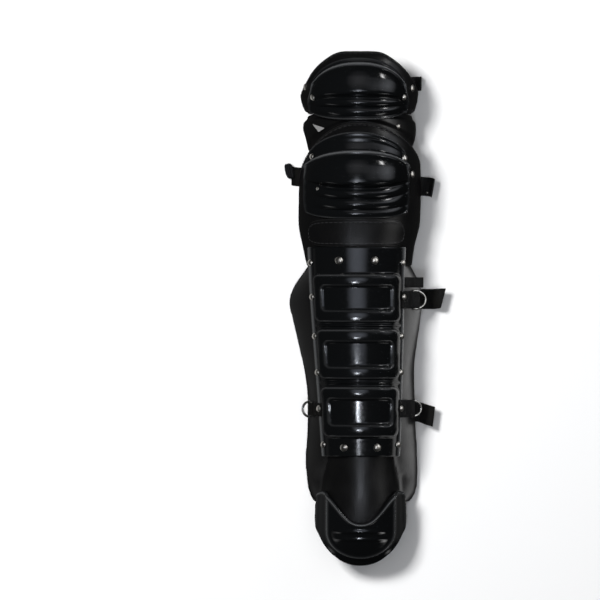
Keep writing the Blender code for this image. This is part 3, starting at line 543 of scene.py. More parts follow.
def shinRelief(x, y):
    half = along(shin["edge"], y)[0]
    share = np.abs(x) / half
    hem = ridge((share - shin["beadShare"]) * half, shin["beadWidth"])
    # a highlight line is painted along each side bead
    lift, paintedGlint = shin["beadLift"] * hem, hem ** 2
    end, fade = shin["grooveRibEnd"]
    inside = 1 - ramp(share - end, fade)
    for place in shin["grooveRibs"]:
        lift = lift + shin["grooveRibLift"] * ridge(y - place, shin["grooveRibWidth"]) * inside
    for top, windowTop, windowBottom, bottom in shin["frames"]:
        onFrame, frameRub = shinBox(x, y, half, "frame", top, bottom)
        inWindow, windowRub = shinBox(x, y, half, "window", windowTop, windowBottom)
        paintedGlint = np.maximum(np.maximum(paintedGlint, frameRub), windowRub)
        bars = sum(ridge(y - edge + away, width)
                   for edge, (away, width) in zip((windowTop, windowBottom), shin["bars"]))
        lift = lift * (1 - onFrame) + (shin["frameLift"] + shin["barLift"] * bars) * onFrame
        lift = lift * (1 - inWindow) + shin["windowLift"] * inWindow
    return lift, paintedGlint


def shinShell():
    steps = [spot for frameRow in shin["frames"] for spot in frameRow] + shin["grooveRibs"]
    y = crowd(shin["bottom"], shin["top"], *shin["spacing"], steps)
    sides = [side * shin[key] for side in (-1, 1) for key in ("rimShare", "frameShare", "windowShare")]
    share, y = np.meshgrid(crowd(-1, 1, *shin["spacingAcross"], sides), y)
    x = share * along(shin["edge"], y)[0]
    lift, paintedGlint = shinRelief(x, y)
    shellWall("shinShell", shinTop, x, y, lift, paintedGlint, shin["wall"], shellGloss, ["shin_shell"])


shinShell()
print("shells made")


# Padding

pads = {
    "thighTop": [(270, 60, 1.6), (270, 60, 1.6)], "thighLimit": 322.5, "thighBottom": 243,
    "kneeTop": [(164, 68, 1.9), (180, 52, 1.9)], "kneeBottom": 50, "kneeTuck": 2, "wall": 10, "rounding": 0.6,
    "linkForm": [(184, 60, 66.5, 88, 2.2), (200, 62, 70.5, 89, 2.2), (213, 65.5, 74, 89, 2.2),
                 (226, 69, 74.5, 88, 2.2), (243, 65.5, 71.5, 88, 2.2)],
    "linkWall": 4, "linkTuck": 10, "linkTuckStart": 0.78, "linkUnder": 5, "linkGuess": 200,
    "dive": (4, 1.2), "diveFade": (2.5, 6),  # how far the link's ends dive, at the sides less, and how soon
    "openingAt": (-49.5, 224.5, 66), "opening": ((8, -4.7), (-0.4, 6.2)),
    "toeStart": -268, "toeRise": 63, "toePower": 1.15, "toeTop": -256, "toeDip": 26, "toeInset": 2.2,
    "toeWall": 8, "shinWall": 12, "shinBelow": 7, "ankleTop": -181, "instepBelow": -10, "instepWall": 10,
    "innerAcross": (0.04, 0.01, 0.08), "innerUp": (0.03, 0.008, 0.06),
}
thighForm, kneeForm, footForm = [caps[key]["form"] for key in ("thigh", "knee", "toe")]
shinForm = shin["form"]


def archLine(top, form, x):  # plan outline of a padding's rounded end
    start, rise, power = [np.where(x > 0, right, left) for left, right in zip(*top)]
    share = np.clip(np.abs(x) / halfOf(form, x, start), 0, 1)
    return start + rise * (1 - share ** power) ** (1 / power)


def cutStraight(y, limit, softness=4.0):
    corner = np.clip(softness - np.abs(y - limit), 0, None) / softness
    return np.minimum(y, limit) - corner * corner * softness / 4


def padTop(u, form, top):  # a rounded end over the whole arch
    start = np.where(u > 0, top[1][0], top[0][0]) + 0.0 * u
    return archLine(top, form, archX(form, u, start))


def linkLow(u):
    low = pads["linkGuess"] + 0.0 * u
    for _ in range(6):  # where the band's inside meets the knee padding's end
        low = archLine(pads["kneeTop"], kneeForm, archX(pads["linkForm"], u, low, pads["linkWall"])) + gap
    start = pads["linkTuckStart"]
    low = low - pads["linkTuck"] * np.clip(np.abs(u) - start, 0, 1) / (1 - start)
    return low - pads["linkUnder"]


def linkHigh(u):
    return pads["thighBottom"] - gap + pads["linkUnder"] * np.cos(u * pi / 2) ** 2


def toeSeam(share):  # where the instep's padding meets the toe's, under the toe shell
    return pads["toeTop"] - pads["toeDip"] * (1 - share ** 2)


def toeLow(u):
    return pads["toeStart"] - pads["toeRise"] * np.clip(np.cos(np.abs(u) * pi / 2), 0, 1) ** pads["toePower"]


def level(y):  # a straight end
    return lambda u: y + 0.0 * u


def archPad(name, form, low, high, wall, stands, under=0.0):
    girth, tall, coarse, fine, reach = 130, 75, 3, 0.8, 6  # of the mesh, in millimetres
    across = crowd(-1, 1, coarse / girth, fine / girth, reach / girth)
    u, t = np.meshgrid(across, crowd(0, 1, coarse / tall, fine / tall, reach / tall))
    y = low(u) + (high(u) - low(u)) * t
    skin = archPoint(form, u, y)
    facing = normalsOf(skin)
    if under:  # its ends dive under the padding above and below it
        (most, less), (start, fade) = pads["dive"], pads["diveFade"]
        dive = 1 - ramp(np.minimum(y - low(u), high(u) - y) - under - start, fade)
        skin = skin - facing * (dive * (most - less * np.sin(u * pi / 2) ** 2))[..., None]
    made = wallPiece(name, skin, facing, wall, vinyl, stands, wall * pads["rounding"])


archPad("thighPadding", thighForm, level(pads["thighBottom"]),
        lambda u: cutStraight(padTop(u, thighForm, pads["thighTop"]), pads["thighLimit"]), pads["wall"],
        ["thigh_pad"])
archPad("thighLink", pads["linkForm"], linkLow, linkHigh, pads["linkWall"], ["thigh_link"], pads["linkUnder"])
archPad("kneePadding", kneeForm, level(pads["kneeBottom"] - pads["kneeTuck"]),
        lambda u: padTop(u, kneeForm, pads["kneeTop"]), pads["wall"], ["knee_pad"])
toeForm = [(y, left - pads["toeInset"], right - pads["toeInset"], crown, power)
           for y, left, right, crown, power in footForm]
archPad("toePadding", toeForm, toeLow, lambda u: toeSeam(np.sin(u * pi / 2)) - gap, pads["toeWall"],
        ["toe_pad"])

wings = {
    "reach": [(-251, 58.5, 61.5), (-238, 65.5, 70.5), (-220, 69.5, 73.5), (-190, 70.5, 73), (-155, 68, 71.5),
              (-112, 67, 71), (-80, 70.5, 71), (-50, 76.5, 75.5), (-15, 83.5, 81.5), (5, 87, 83.5),
              (25, 80, 82), (49.3, 62.5, 70.5), (53, 62.5, 70.5)],  # y, left and right
    "ends": (-251, 52.5), "tuck": 8, "neck": 11, "neckShare": 0.28, "inset": 0.3, "footRoot": 43,
    "footStart": -222, "shinEnd": -186, "wall": 8, "rounding": 4.5, "round": 1.35,
    "spacing": (3, 0.8, 6), "spacingAcross": (0.025, 0.008, 0.05),
}


def footShare(y):
    return np.clip((wings["shinEnd"] - y) / (wings["shinEnd"] - wings["footStart"]), 0, 1)


def wingRoot(y):
    edge = archHeight(shinForm, along(shin["edge"], y)[0], y, shellLift)
    smooth = ramp(footShare(y) - 0.5, 1.0)
    return (edge + wings["tuck"]) * (1 - smooth) + wings["footRoot"] * smooth


def wingStart(side, z, y):
    share = footShare(y)
    onShin, onFoot = widthAt(shinForm, side, z, y), widthAt(footForm, side, z, y)
    return onShin * (1 - share) + onFoot * share - wings["inset"]


def wingSkin(side, q, y):
    top = wingRoot(y)
    neck = top - wings["neck"]
    reach = halfOf(wings["reach"], side, y)
    under = q <= wings["neckShare"]
    z = top + (neck - top) * np.clip(q / wings["neckShare"], 0, 1)
    angle = np.clip((q - wings["neckShare"]) / (1 - wings["neckShare"]), 0, 1) * pi / 2
    start = wingStart(side, neck, y)
    power = 2 / wings["round"]
    x = np.where(under, wingStart(side, z, y), start + (reach - start) * np.sin(angle) ** power)
    z = np.where(under, z, neck * np.clip(np.cos(angle), 0, 1) ** power)
    return np.stack([side * x, y, z], -1)


def wingPiece(name, side, stands):
    q, y = np.meshgrid(crowd(0, 1, *wings["spacingAcross"]), crowd(*wings["ends"], *wings["spacing"]))
    skin = wingSkin(side, q, y)
    facing = normalsOf(skin) * side
    if side < 0:
        skin, facing = skin[:, ::-1], facing[:, ::-1]
    made = wallPiece(name, skin, facing, wings["wall"], vinyl, stands, wings["rounding"])


wingPiece("wingLeft", -1, ["wing_left"])
wingPiece("wingRight", 1, ["wing_right"])


def innerPad(name, form, low, high, below, wall, stands):
    k, t = np.meshgrid(crowd(-1, 1, *pads["innerAcross"]), crowd(0, 1, *pads["innerUp"]))
    y = low(k) + (high - low(k)) * t
    skin = archPoint(form, k * shareAt(form, wingRoot(y) + below, y), y)
    made = wallPiece(name, skin, normalsOf(skin), wall, vinyl, stands, wall * pads["rounding"])


innerPad("shinPadding", shinForm, level(pads["ankleTop"] + gap), pads["kneeBottom"] - gap, pads["shinBelow"],
         pads["shinWall"], ["shin_pad"])
innerPad("instepPadding", footForm, toeSeam, pads["ankleTop"], pads["instepBelow"], pads["instepWall"],
         ["ankle_pad"])

bridge = {
    "outline": [(75.2, 84, 8, 2, 60.5), (81, 87, 8, 1.5, 62), (91, 92, 2, 1, 62.5), (101.5, 97, 8, 1.5, 62),
                (107.8, 100, 8, 2, 60.5)],
    "base": 4.1, "wall": 3.4, "rounding": 1.7, "columns": 90, "spacing": (0.12, 0.03, 0.25),
}


def bridgePad():
    across = np.sin(np.linspace(-1, 1, bridge["columns"]) * caps["sweep"] * pi / 2)
    up = crowd(0, len(bridge["outline"]) - 1, *bridge["spacing"])
    x, y = capPlan(bridge["outline"], across, up)[:2]
    made = shellWall("bridgePad", lambda x, y: archHeight(kneeForm, x, y, bridge["base"]), x, y, 0 * x, 0 * x,
                     bridge["wall"], vinyl, ["bridge_pad"], bridge["rounding"])


bridgePad()


def cutOpening():  # the three-sided opening through the link's left side
    x, y, z = pads["openingAt"]
    sway = float(along(centreLine, y)[0])
    bm = bmesh.new()
    bmesh.ops.create_cone(bm, cap_ends=True, segments=3, radius1=1, radius2=1, depth=60 * mm)
    bmesh.ops.rotate(bm, matrix=Matrix.Rotation(radians(-90), 3, "Z"), verts=bm.verts)
    (a, b), (c, d) = pads["opening"]  # it slants: longer than it is tall
    slant = Matrix(((a * mm, b * mm, 0, 0), (c * mm, d * mm, 0, 0), (0, 0, 1, 0), (0, 0, 0, 1)))
    bmesh.ops.transform(bm, matrix=slant, verts=bm.verts)
    bmesh.ops.translate(bm, vec=Vector((x + sway + shift[0], y + shift[1], z)) * mm, verts=bm.verts)
    cutter = addObject("opening", meshFrom("opening", bm))
    link = bpy.data.objects["thighLink"]
    cut = link.modifiers.new("opening", "BOOLEAN")
    cut.object, cut.solver, cut.operation = cutter, "EXACT", "DIFFERENCE"
    applyModifiers(link)
    bpy.data.objects.remove(cutter)


cutOpening()

cushions = {
    # pressure, and how far each cover may move outwards, in millimetres
    "covers": {"thighPadding": (4, 3), "kneePadding": (4, 3), "instepPadding": (4, 2.5),
               "wingLeft": (4.5, 4), "wingRight": (4.5, 4)},
    "voxel": 3.2, "frames": 18, "clearance": 0.5, "floorClearance": 0.6, "pin": 4.5,
    "cloth": {"quality": 6, "mass": 0.2, "tension_stiffness": 12, "compression_stiffness": 12,
              "bending_stiffness": 0.3, "use_pressure": True, "vertex_group_mass": "held"},
}


def placesOf(mesh):
    places = np.empty(len(mesh.vertices) * 3)
    mesh.vertices.foreach_get("co", places)
    return places.reshape(-1, 3)


def treeOf(name):
    return BVHTree.FromObject(bpy.data.objects[name], bpy.context.evaluated_depsgraph_get())


def blowUp(name, pressure, most, shells):
    # The cover swells under pressure as cloth, held round its rim and under the shells.
    piece = bpy.data.objects[name]
    remesh = piece.modifiers.new("remesh", "REMESH")
    remesh.mode, remesh.voxel_size = "VOXEL", cushions["voxel"] * mm
    applyModifiers(piece)
    mesh = piece.data
    start = placesOf(mesh)
    rim = KDTree(len(rims[name][0]))
    for number, spot in enumerate(rims[name][0]):
        rim.insert(spot, number)
    rim.balance()
    held = piece.vertex_groups.new(name="held")
    for number, spot in enumerate(start):
        if rim.find(spot)[2] < cushions["pin"] * mm:
            held.add([number], 1.0, "REPLACE")
    cloth = piece.modifiers.new("cloth", "CLOTH")
    for setting, value in cushions["cloth"].items():
        setattr(cloth.settings, setting, value)
    cloth.settings.uniform_pressure_force = pressure
    cloth.settings.effector_weights.gravity = 0
    cloth.point_cache.frame_end = cushions["frames"] + 2
    for number in range(1, cushions["frames"] + 1):
        bpy.context.scene.frame_set(number)
    swollen = piece.evaluated_get(bpy.context.evaluated_depsgraph_get())
    moved = placesOf(swollen.to_mesh()) - start
    swollen.to_mesh_clear()
    piece.modifiers.clear()
    length = np.maximum(np.linalg.norm(moved, axis=1, keepdims=True), 1e-9)
    moved = moved * np.minimum(1, most * mm / length)
    clearance, least = cushions["clearance"] * mm, 0.05 * mm
    for number in range(len(start)):  # it stops short of a shell, and of the floor
        spot, step = Vector(start[number]), Vector(moved[number])
        if step.length < least:
            continue
        for tree in shells:
            hit = tree.ray_cast(spot, step.normalized(), step.length + clearance)
            if hit[0]:
                moved[number] = step.normalized() * max(hit[3] - clearance, 0)
    made = start + moved
    made[:, 2] = np.maximum(made[:, 2], cushions["floorClearance"] * mm)
    mesh.vertices.foreach_set("co", made.ravel())
    bm = bmesh.new()
    bm.from_mesh(mesh)
    bmesh.ops.smooth_vert(bm, verts=bm.verts, factor=0.5, use_axis_x=True, use_axis_y=True, use_axis_z=True)
    bm.to_mesh(mesh)
    bm.free()
    smooth = piece.modifiers.new("smooth", "SUBSURF")
    smooth.levels = smooth.render_levels = 1
    applyModifiers(piece)
    piece.data.shade_smooth()
    print(name, "swollen, at most", round(float(np.linalg.norm(moved, axis=1).max() / mm), 1), "mm")


shellTrees = [treeOf(name) for name in ("thighCap", "kneeCap", "toeCap", "shinShell")]
for name, (pressure, most) in cushions["covers"].items():
    blowUp(name, pressure, most, shellTrees)
bpy.context.scene.frame_set(1)

trims = {
    "spacing": 2.2, "sides": 12, "softening": 6,  # of the piping
    "stitch": 4, "pause": 2.2, "thread": (0.45, 0.4, 6), "rise": 0.25,  # of the stitches beside it
    "points": 4, "above": 12, "longest": 6.4,
}


def onLine(places, length, line):  # a line's points at places along it
    return np.stack([np.interp(places, length, line[:, axis]) for axis in range(3)], -1)


def pipeRound(name, source, radius):  # a cord sewn into the edge of a padding
    path, up = [looped(line) for line in rims[source]]
    length = runLength(path)
    places = np.linspace(0, length[-1], int(length[-1] / (trims["spacing"] * mm)), endpoint=False)
    path, up = onLine(places, length, path), onLine(places, length, up)
    for _ in range(trims["softening"]):
        path = (np.roll(path, 1, axis=0) + 2 * path + np.roll(path, -1, axis=0)) / 4
    ahead = unit(np.roll(path, -1, axis=0) - np.roll(path, 1, axis=0))
    side = unit(np.cross(ahead, up))
    bm = bmesh.new()
    sweep(bm, path, side, np.cross(side, ahead), ellipse(radius, radius, trims["sides"]) * mm, closed=True)
    addPiece(name, bm, binding, [])


def stitchRound(name, source, inset):
    # A row of stitches beside the piping, laid on the finished cover.
    path, up = [looped(line) for line in rims[source]]
    length = runLength(path)
    stitch, pause = trims["stitch"], trims["pause"]
    count = int(length[-1] / ((stitch + pause) * mm))
    tree = treeOf(source)
    bm = bmesh.new()
    for number in range(count):
        spots = []
        for share in np.linspace(0, stitch / (stitch + pause), trims["points"]):
            place = (number + share) * length[-1] / count
            centre, ahead, facing = [onLine(place + more, length, line)
                                     for line, more in ((path, 0), (path, mm), (up, 0))]
            side = unit(np.cross(unit(ahead - centre), facing))
            start = centre - side * inset * mm + facing * trims["above"] * mm
            spot, normal, _, _ = tree.ray_cast(Vector(start), Vector(-facing))
            if spot is not None:
                spots.append(list(spot + normal * trims["rise"] * mm))
        line = np.array(spots)
        if len(spots) < trims["points"] or np.linalg.norm(line[-1] - line[0]) > trims["longest"] * mm:
            continue
        ahead = unit(np.gradient(line, axis=0))
        side = unit(np.cross(ahead, facing))
        sweep(bm, line, side, np.cross(side, ahead), ellipse(*trims["thread"]) * mm)
    addPiece(name, bm, thread, [])


pipeRound("thighPiping", "thighPadding", 1.7)
stitchRound("thighStitches", "thighPadding", 4.5)
stitchRound("kneeStitches", "kneePadding", 4.5)
stitchRound("bridgeStitches", "bridgePad", 3.2)
pipeRound("kneePiping", "kneePadding", 1.7)
pipeRound("bridgePiping", "bridgePad", 1.1)
print("padding made")


# Straps, tabs and rings

straps = {
    # x, y, height and turn of the width, in the guard's own frame; width; CAD node
    "thighStrap": ([(-66, 275, 0, 0), (0, 279, 0, 0), (74, 282, 0, 0), (77.8, 282, 0.6, 0), (79, 282, 4, 0),
                    (79.4, 282, 12, 0)], 18, "thigh_strap"),
    "kneeStrap": ([(-86, 165, 2, 0), (-80, 164, 0, 0), (0, 158, 0, 0), (76, 152, 0, 0), (83, 151.5, 1, 0),
                   (89, 151, 5, 0), (93, 150, 11, -6), (94.5, 149, 18, -10)], 24, "knee_strap"),
    "calfStrap": ([(-62, 6, 0, 0), (0, 8, 0, 0), (81, 8.5, 0, 0), (86.5, 8.5, 1.5, 0), (91.5, 8.5, 6, 0),
                   (96, 8.5, 13, 0), (101, 9, 18, 0), (107, 9.5, 20, -14)], 25.4, "calf_strap"),
    "ankleStrap": ([(-58, -132, 0, 0), (0, -132.5, 0, 0), (73.5, -134.5, 0, 0), (79.5, -136, 2, -3),
                    (84, -137.5, 8, -5), (88.5, -139, 14, -6), (95, -141, 18, -7)], 25.4, "ankle_strap"),
}
tabs = {
    # y, width, x and height of its ring, x of its fold, CAD node, side, whether it starts under the shell
    "calfTab": (7.5, 22, 68, 44, 78, "calf_tab", 1, False),
    "calfKeeper": (29.5, 13, 74, 44, 83, "calf_keeper", 1, True),
    "ankleTab": (-130, 22, 62, 42, 68, "ankle_tab", 1, False),
    "ankleTabLeft": (-131, 16, 60, 40, 64, "ankle_tab_left", -1, False),
}
folds = {
    # a tab's way out and down from the shell's edge: tucked under it, or laid over it
    "tucked": [(-1.5, -4.5), (3.5, -6)], "insets": (5.2, 2.6, 0.2), "over": (0.6, 1.6), "off": (3.5, -1.5),
    "barLift": 3.5, "foldDrop": 3, "strapWall": 1.8, "tabWall": 2.6,
}


def smoothPath(points, spacing=1.2):  # rows of a path, evenly spaced on a curve through its points
    points = np.array(points, float)
    length = runLength(points[:, :3])
    table = np.column_stack([length, points])
    return along(table, np.linspace(0, length[-1], max(int(length[-1] / spacing), 4))).T


def webbingSection(width, wall):  # a flat band with rounded edges, from its underside up
    return (ellipse(width / 2, wall / 2, 28, 5.0) + np.array([0, wall / 2])) * mm


def webbingPiece(name, path, side, up, width, wall, stands):
    bm = bmesh.new()
    sweep(bm, path, side, up * np.sign(up[:1, 2:]), webbingSection(width, wall))
    for vert in bm.verts:
        vert.co.z = max(vert.co.z, 0)  # none of it dips into the floor
    addPiece(name, bm, webbing, [stands])


def strapPiece(name):
    points, width, stands = straps[name]
    path = smoothPath(points)
    turn = np.radians(path[:, 3])
    side = np.stack([-np.sin(turn), np.cos(turn), 0 * turn], -1)
    up = unit(np.cross(unit(np.gradient(path[:, :3], axis=0)), side))
    webbingPiece(name, onFloor(path[:, :3]), side, up, width, folds["strapWall"], stands)


def tabPath(y, ringX, ringZ, foldX, tucked):  # over the shell's edge, or from under it, and down to the ring
    edge = along(shin["edge"], y)[0]
    low = shinTop(edge, y)
    if tucked:
        path = [(edge + x, low + z) for x, z in folds["tucked"]]
    else:
        (out, lift), (offX, offZ) = folds["over"], folds["off"]
        path = [(edge - inset + out, shinTop(edge - inset, y) + lift) for inset in folds["insets"]]
        path.append((edge + offX, low + offZ))
    return path + [(ringX, ringZ + folds["barLift"]), (foldX, ringZ - folds["foldDrop"])]


def tabPiece(name, y, width, ringX, ringZ, foldX, stands, side, tucked):
    rows = smoothPath([(x, z, 0) for x, z in tabPath(y, ringX, ringZ, foldX, tucked)], 0.8)
    path = inGuard(np.stack([side * rows[:, 0], y + 0 * rows[:, 0], rows[:, 1]], -1))
    across = np.tile([0.0, 1.0, 0.0], (len(path), 1))
    up = unit(np.cross(np.gradient(path, axis=0), across)) * side * -1
    webbingPiece(name, path, across, up, width, folds["tabWall"], stands)


for strapName in straps:
    strapPiece(strapName)
for tabName, tabData in tabs.items():
    tabPiece(tabName, *tabData)

rings = {
    # middle of the bar, width, depth, wire, tilt and turn in degrees, CAD node
    "calfRing": ((68, 7.5, 41.5), 23, 18, 3.2, 28, 0, "calf_ring"),
    "ankleRing": ((65.5, -130, 38.5), 20, 15, 3, 30, 0, "ankle_ring"),
    "ankleRingLeft": ((-60.5, -131, 37), 19, 12, 3.2, 24, 180, "ankle_ring_left"),
}


def turned(turn, tilt):
    return np.array(Matrix.Rotation(radians(turn), 3, "Z") @ Matrix.Rotation(radians(tilt), 3, "Y"))


def flatLoop(bm, path, pose, centre, section):  # a closed flat line with a section swept round it
    path = np.array([(x, y, 0) for x, y in path])
    ahead = unit(np.roll(path, -1, axis=0) - np.roll(path, 1, axis=0))
    up = np.tile([0.0, 0.0, 1.0], (len(path), 1))
    sweep(bm, onFloor(path @ pose.T + np.array(centre)), np.cross(ahead, up) @ pose.T, up @ pose.T,
          section * mm, closed=True)


def ringPiece(name, centre, width, depth, wire, tilt, turn, stands):
    corner, bend, first = 2.5, 2, 0.2  # of the bow's ends, and of the bar's; where the bar's bend starts
    half = width / 2
    path = [(0.0, y) for y in np.linspace(half - bend, -half + bend, 14)]
    path += [(bend - bend * cos(a), -half + bend - bend * sin(a)) for a in np.linspace(first, pi / 2, 6)]
    path += [(corner + (depth - corner) * cos(a), half * sin(a)) for a in np.linspace(-pi / 2, pi / 2, 34)]
    path += [(bend - bend * cos(a), half - bend + bend * sin(a)) for a in np.linspace(pi / 2, first, 6)]
    bm = bmesh.new()
    flatLoop(bm, path, turned(turn, tilt), centre, ellipse(wire / 2, wire / 2))
    addPiece(name, bm, steel, [stands])


for ringName, ringData in rings.items():
    ringPiece(ringName, *ringData)

clip = {
    "centre": (-88.4, 171, 7), "half": (2.8, 8.2), "corner": 2.2, "turn": 10, "tilt": 18, "frame": (1.5, 2.3),
    # points of the bar and of the tongue, from the frame's half-width and half-length, and their section
    "bar": [(0, 0, -1, 0.6, 0), (0, 0, 1, -0.6, 0)],
    "tongue": [(-1, -0.2, 1, 0.6, 0.5), (-1, -1.6, 1, -0.6, 1.2), (-1, -2.4, 1, -4.5, 1.8),
               (-1, -2.3, 0, 0, 1.6), (-1, -1.6, -1, 4, 0.8), (-1, -0.2, -1, 2.2, 0.4)],
    "tongueSection": (1.1, 1.3, 10, 2.6),
}


def kneeClip():  # a looped hook: a frame, the bar its strap turns round, a snap tongue
    wide, tall = clip["half"]
    corner, pose = clip["corner"], turned(clip["turn"], clip["tilt"])
    path = [(x * (wide - corner) + corner * cos(angle), y * (tall - corner) + corner * sin(angle))
            for turn, (x, y) in enumerate(((1, 1), (-1, 1), (-1, -1), (1, -1)))
            for angle in np.linspace(0, pi / 2, 6) + turn * pi / 2]
    bm = bmesh.new()
    flatLoop(bm, path, pose, clip["centre"], ellipse(*clip["frame"], 14, 3.0))
    for key in ("bar", "tongue"):
        spots = [(a * wide + x, b * tall + y, z, 0) for a, x, b, y, z in clip[key]]
        line = smoothPath(spots, 0.8)[:, :3]
        ahead = unit(np.gradient(line, axis=0))
        side = unit(np.cross(ahead, np.array([0.0, 0.0, 1.0])))
        sweep(bm, onFloor(line @ pose.T + np.array(clip["centre"])), side @ pose.T,
              np.cross(side, ahead) @ pose.T, ellipse(*clip["tongueSection"]) * mm)
    addPiece("kneeClip", bm, acetal, ["knee_clip"])


kneeClip()
print("straps and fittings made")


# Rivets

rivets = {
    # CAD node, what it stands on, x, y, radius
    "heads": [("rivet_thigh_right", "thighCap", 57.5, 262.5, 4.2),
              ("rivet_thigh_left", "thighCap", -57.5, 262.5, 4),
              ("rivet_thigh_pad_right", "thighPadding", 68.5, 275, 5),
              ("rivet_thigh_pad_left", "thighPadding", -67, 277, 4.6),
              ("rivet_knee_right", "kneeCap", 59, 186, 4.6), ("rivet_knee_left", "kneeCap", -56, 188, 4),
              ("rivet_knee_pad_right", "kneePadding", 71, 166, 5),
              ("rivet_knee_small", "kneeCap", -49, 147.5, 2.4), ("link_snap", "thighLink", 51.5, 226, 3.6),
              ("knee_strap_rivet", "kneeStrap", 90, 143.5, 1.8),
              ("rivet_shin_top_left", "shinShell", -22.6, 57, 5),
              ("rivet_shin_top_right", "shinShell", 22.6, 57, 5),
              ("rivet_shin_bottom_left", "shinShell", -21.5, -179, 5),
              ("rivet_shin_bottom_right", "shinShell", 20.5, -179, 5)],
    "side": [54.2, 11, -38.5, -84.2, -129.9, -175.6], "sideRadius": 4.2, "inset": 3, "tabInset": 0.6,
    "tabs": {(1, 2): "calfTab", (1, 5): "ankleTab", (-1, 5): "ankleTabLeft"},
    # a domed head on a thin flange: shares of its radius and of its rise
    "profile": [(0, 1), (0.25, 0.985), (0.5, 0.9), (0.72, 0.7), (0.86, 0.42), (0.9, 0.26), (0.97, 0.2),
                (1, 0.1), (0.97, 0), (0, 0)],
    "rise": 2.4, "riseRadius": 4, "steps": 20, "sharp": 60, "above": 200.0, "seats": 12, "steepest": 0.8,
}


def surfaceUnder(name, x, y, radius):  # where a head rests on a piece, and the way it faces
    tree = treeOf(name)
    above = Vector(inGuard(np.array([x, y, rivets["above"]])))
    spot, normal, _, _ = tree.ray_cast(above, Vector((0, 0, -1)))
    rim, seats = normal.orthogonal().normalized() * radius * mm, []
    for step in range(rivets["seats"]):
        out = spot + Matrix.Rotation(step * 2 * pi / rivets["seats"], 3, normal) @ rim
        found = tree.ray_cast(out + normal * radius * mm, -normal)[0]
        if found:
            seats.append(found)
    middle = sum(seats, Vector()) / max(len(seats), 1)
    if len(seats) > rivets["seats"] * 2 / 3:  # it sits on the plane through what lies under its rim
        tilt = sum(((a - middle).cross(b - middle) for a, b in zip(seats, seats[1:] + seats[:1])), Vector())
        tilt = tilt.normalized() * (1 if tilt.dot(normal) > 0 else -1)
        if tilt.dot(normal) > rivets["steepest"]:
            normal = tilt
    if seats:
        spot = spot + normal * max((seat - spot).dot(normal) for seat in seats)
    return spot, normal


def rivetHead(name, location, normal, radius):
    rise = rivets["rise"] * min(radius / rivets["riseRadius"], 1)
    bm = bmesh.new()
    verts = [bm.verts.new((out * radius * mm, 0, up * rise * mm)) for out, up in rivets["profile"]]
    edges = [bm.edges.new(pair) for pair in zip(verts, verts[1:])]
    bmesh.ops.spin(bm, geom=verts + edges, cent=(0, 0, 0), axis=(0, 0, 1), angle=2 * pi,
                   steps=rivets["steps"], use_merge=True)
    bmesh.ops.remove_doubles(bm, verts=bm.verts, dist=0.005 * mm)
    bmesh.ops.rotate(bm, matrix=normal.to_track_quat("Z", "Y").to_matrix(), verts=bm.verts)
    bmesh.ops.translate(bm, vec=location, verts=bm.verts)
    first, *others = name.split("_")
    addPiece(first + "".join(word.capitalize() for word in others), bm, nickel, [name],
             rivets["sharp"])


def allRivets():
    bpy.context.view_layer.update()
    for name, on, x, y, radius in rivets["heads"]:
        rivetHead(name, *surfaceUnder(on, x, y, radius), radius)
    radius = rivets["sideRadius"]
    for number, y in enumerate(rivets["side"], 1):
        for side, word in ((-1, "left"), (1, "right")):
            tab = rivets["tabs"].get((side, number))
            x = side * (float(along(shin["edge"], y)[0]) - rivets["tabInset" if tab else "inset"])
            seat = surfaceUnder(tab or "shinShell", x, y, radius)
            rivetHead("rivet_side_%s_%d" % (word, number), *seat, radius)


allRivets()
print("rivets set")


# Floor, camera and light

studio = {"floor": 6, "lens": 472, "camera": (-0.0809, 0.0122, 10), "far": 100, "world": 0.02}
lamps = {
    # turn from +Y towards +X and tilt from straight up in degrees, size in metres, brightness and what it
    # lights; then colour, distance, whether it shows in gloss, and whether it fades towards its rim
    "overheadSoft": (0, 2, (1.35, 1.25), 1.05, "shells", "#e6eeff"),
    "capsSoft": (0, 4, (0.5, 1.4), 2.4, "caps", "#eef4ff"),
    "toeLeft": (233, 86, (0.34, 0.07), 0.35, "toe", "#ffffff", 0.5, True, True),
    "toeRight": (127, 86, (0.34, 0.07), 0.3, "toe", "#ffffff", 0.5, True, True),
    "overheadNarrow": (75, 7, (1, 1.4), 1.3, "padding", "#eef2ff"),
    "overheadStrip": (192, 10.8, (0.08, 0.2), 88, "all", "#eef4ff", 2.5, True, False),
    "upperSoft": (0, 40, (1.9, 2.4), 0.28, "shells", "#f8f8ff"),
    "upperSide": (48, 42, (2, 2.3), 0.3, "shells", "#f4f6ff"),
    "upperRight": (64, 66, (1.9, 2.4), 0.85, "all", "#f2f6ff"),
    "upperRightLamp": (40, 71, (0.6, 0.3), 14, "all"),
    "lowerLeft": (228, 82, (1.8, 0.8), 0.7, "shells"),
    "lowerRight": (142, 80, (1.2, 0.7), 2.4, "shells"),
    "metalSoft": (30, 14, (2.6, 2.6), 0.9, "metal"),
    "rightPanel": (79, 60, (0.9, 0.9), 1.25, "padding", "#fbfaf8", 0.9, True, True),
    "key": (305, 29, (0.65, 0.65), 69, "all", "#ffffff", 3, False, False),
    "fill": (0, 0, (4, 4), 0.85, "all", "#ffffff", 4, False, False),
}
bounces = {
    # middle, size and brightness of white paper beside the guard, and what it lights; the last one lights
    # the paper seen through the link's opening
    "bounceRight": ((0.31, -0.10, 0.002), (0.46, 0.56), 1, "flanks"),
    "bounceLeft": ((-0.31, -0.15, 0.002), (0.46, 0.46), 0.08, "flanks"),
    "bounceToeLeft": ((-0.19, -0.32, 0.002), (0.2, 0.18), 0.1, "all"),
    "bounceToeRight": ((0.17, -0.32, 0.002), (0.2, 0.18), 0.1, "all"),
    "bounceMetalLeft": ((-0.26, 0.05, 0.002), (0.3, 0.6), 0.6, "metal"),
    "openingGlow": ((-0.056, 0.229, 0.03), (0.03, 0.02), 1.6, "paper"),
}
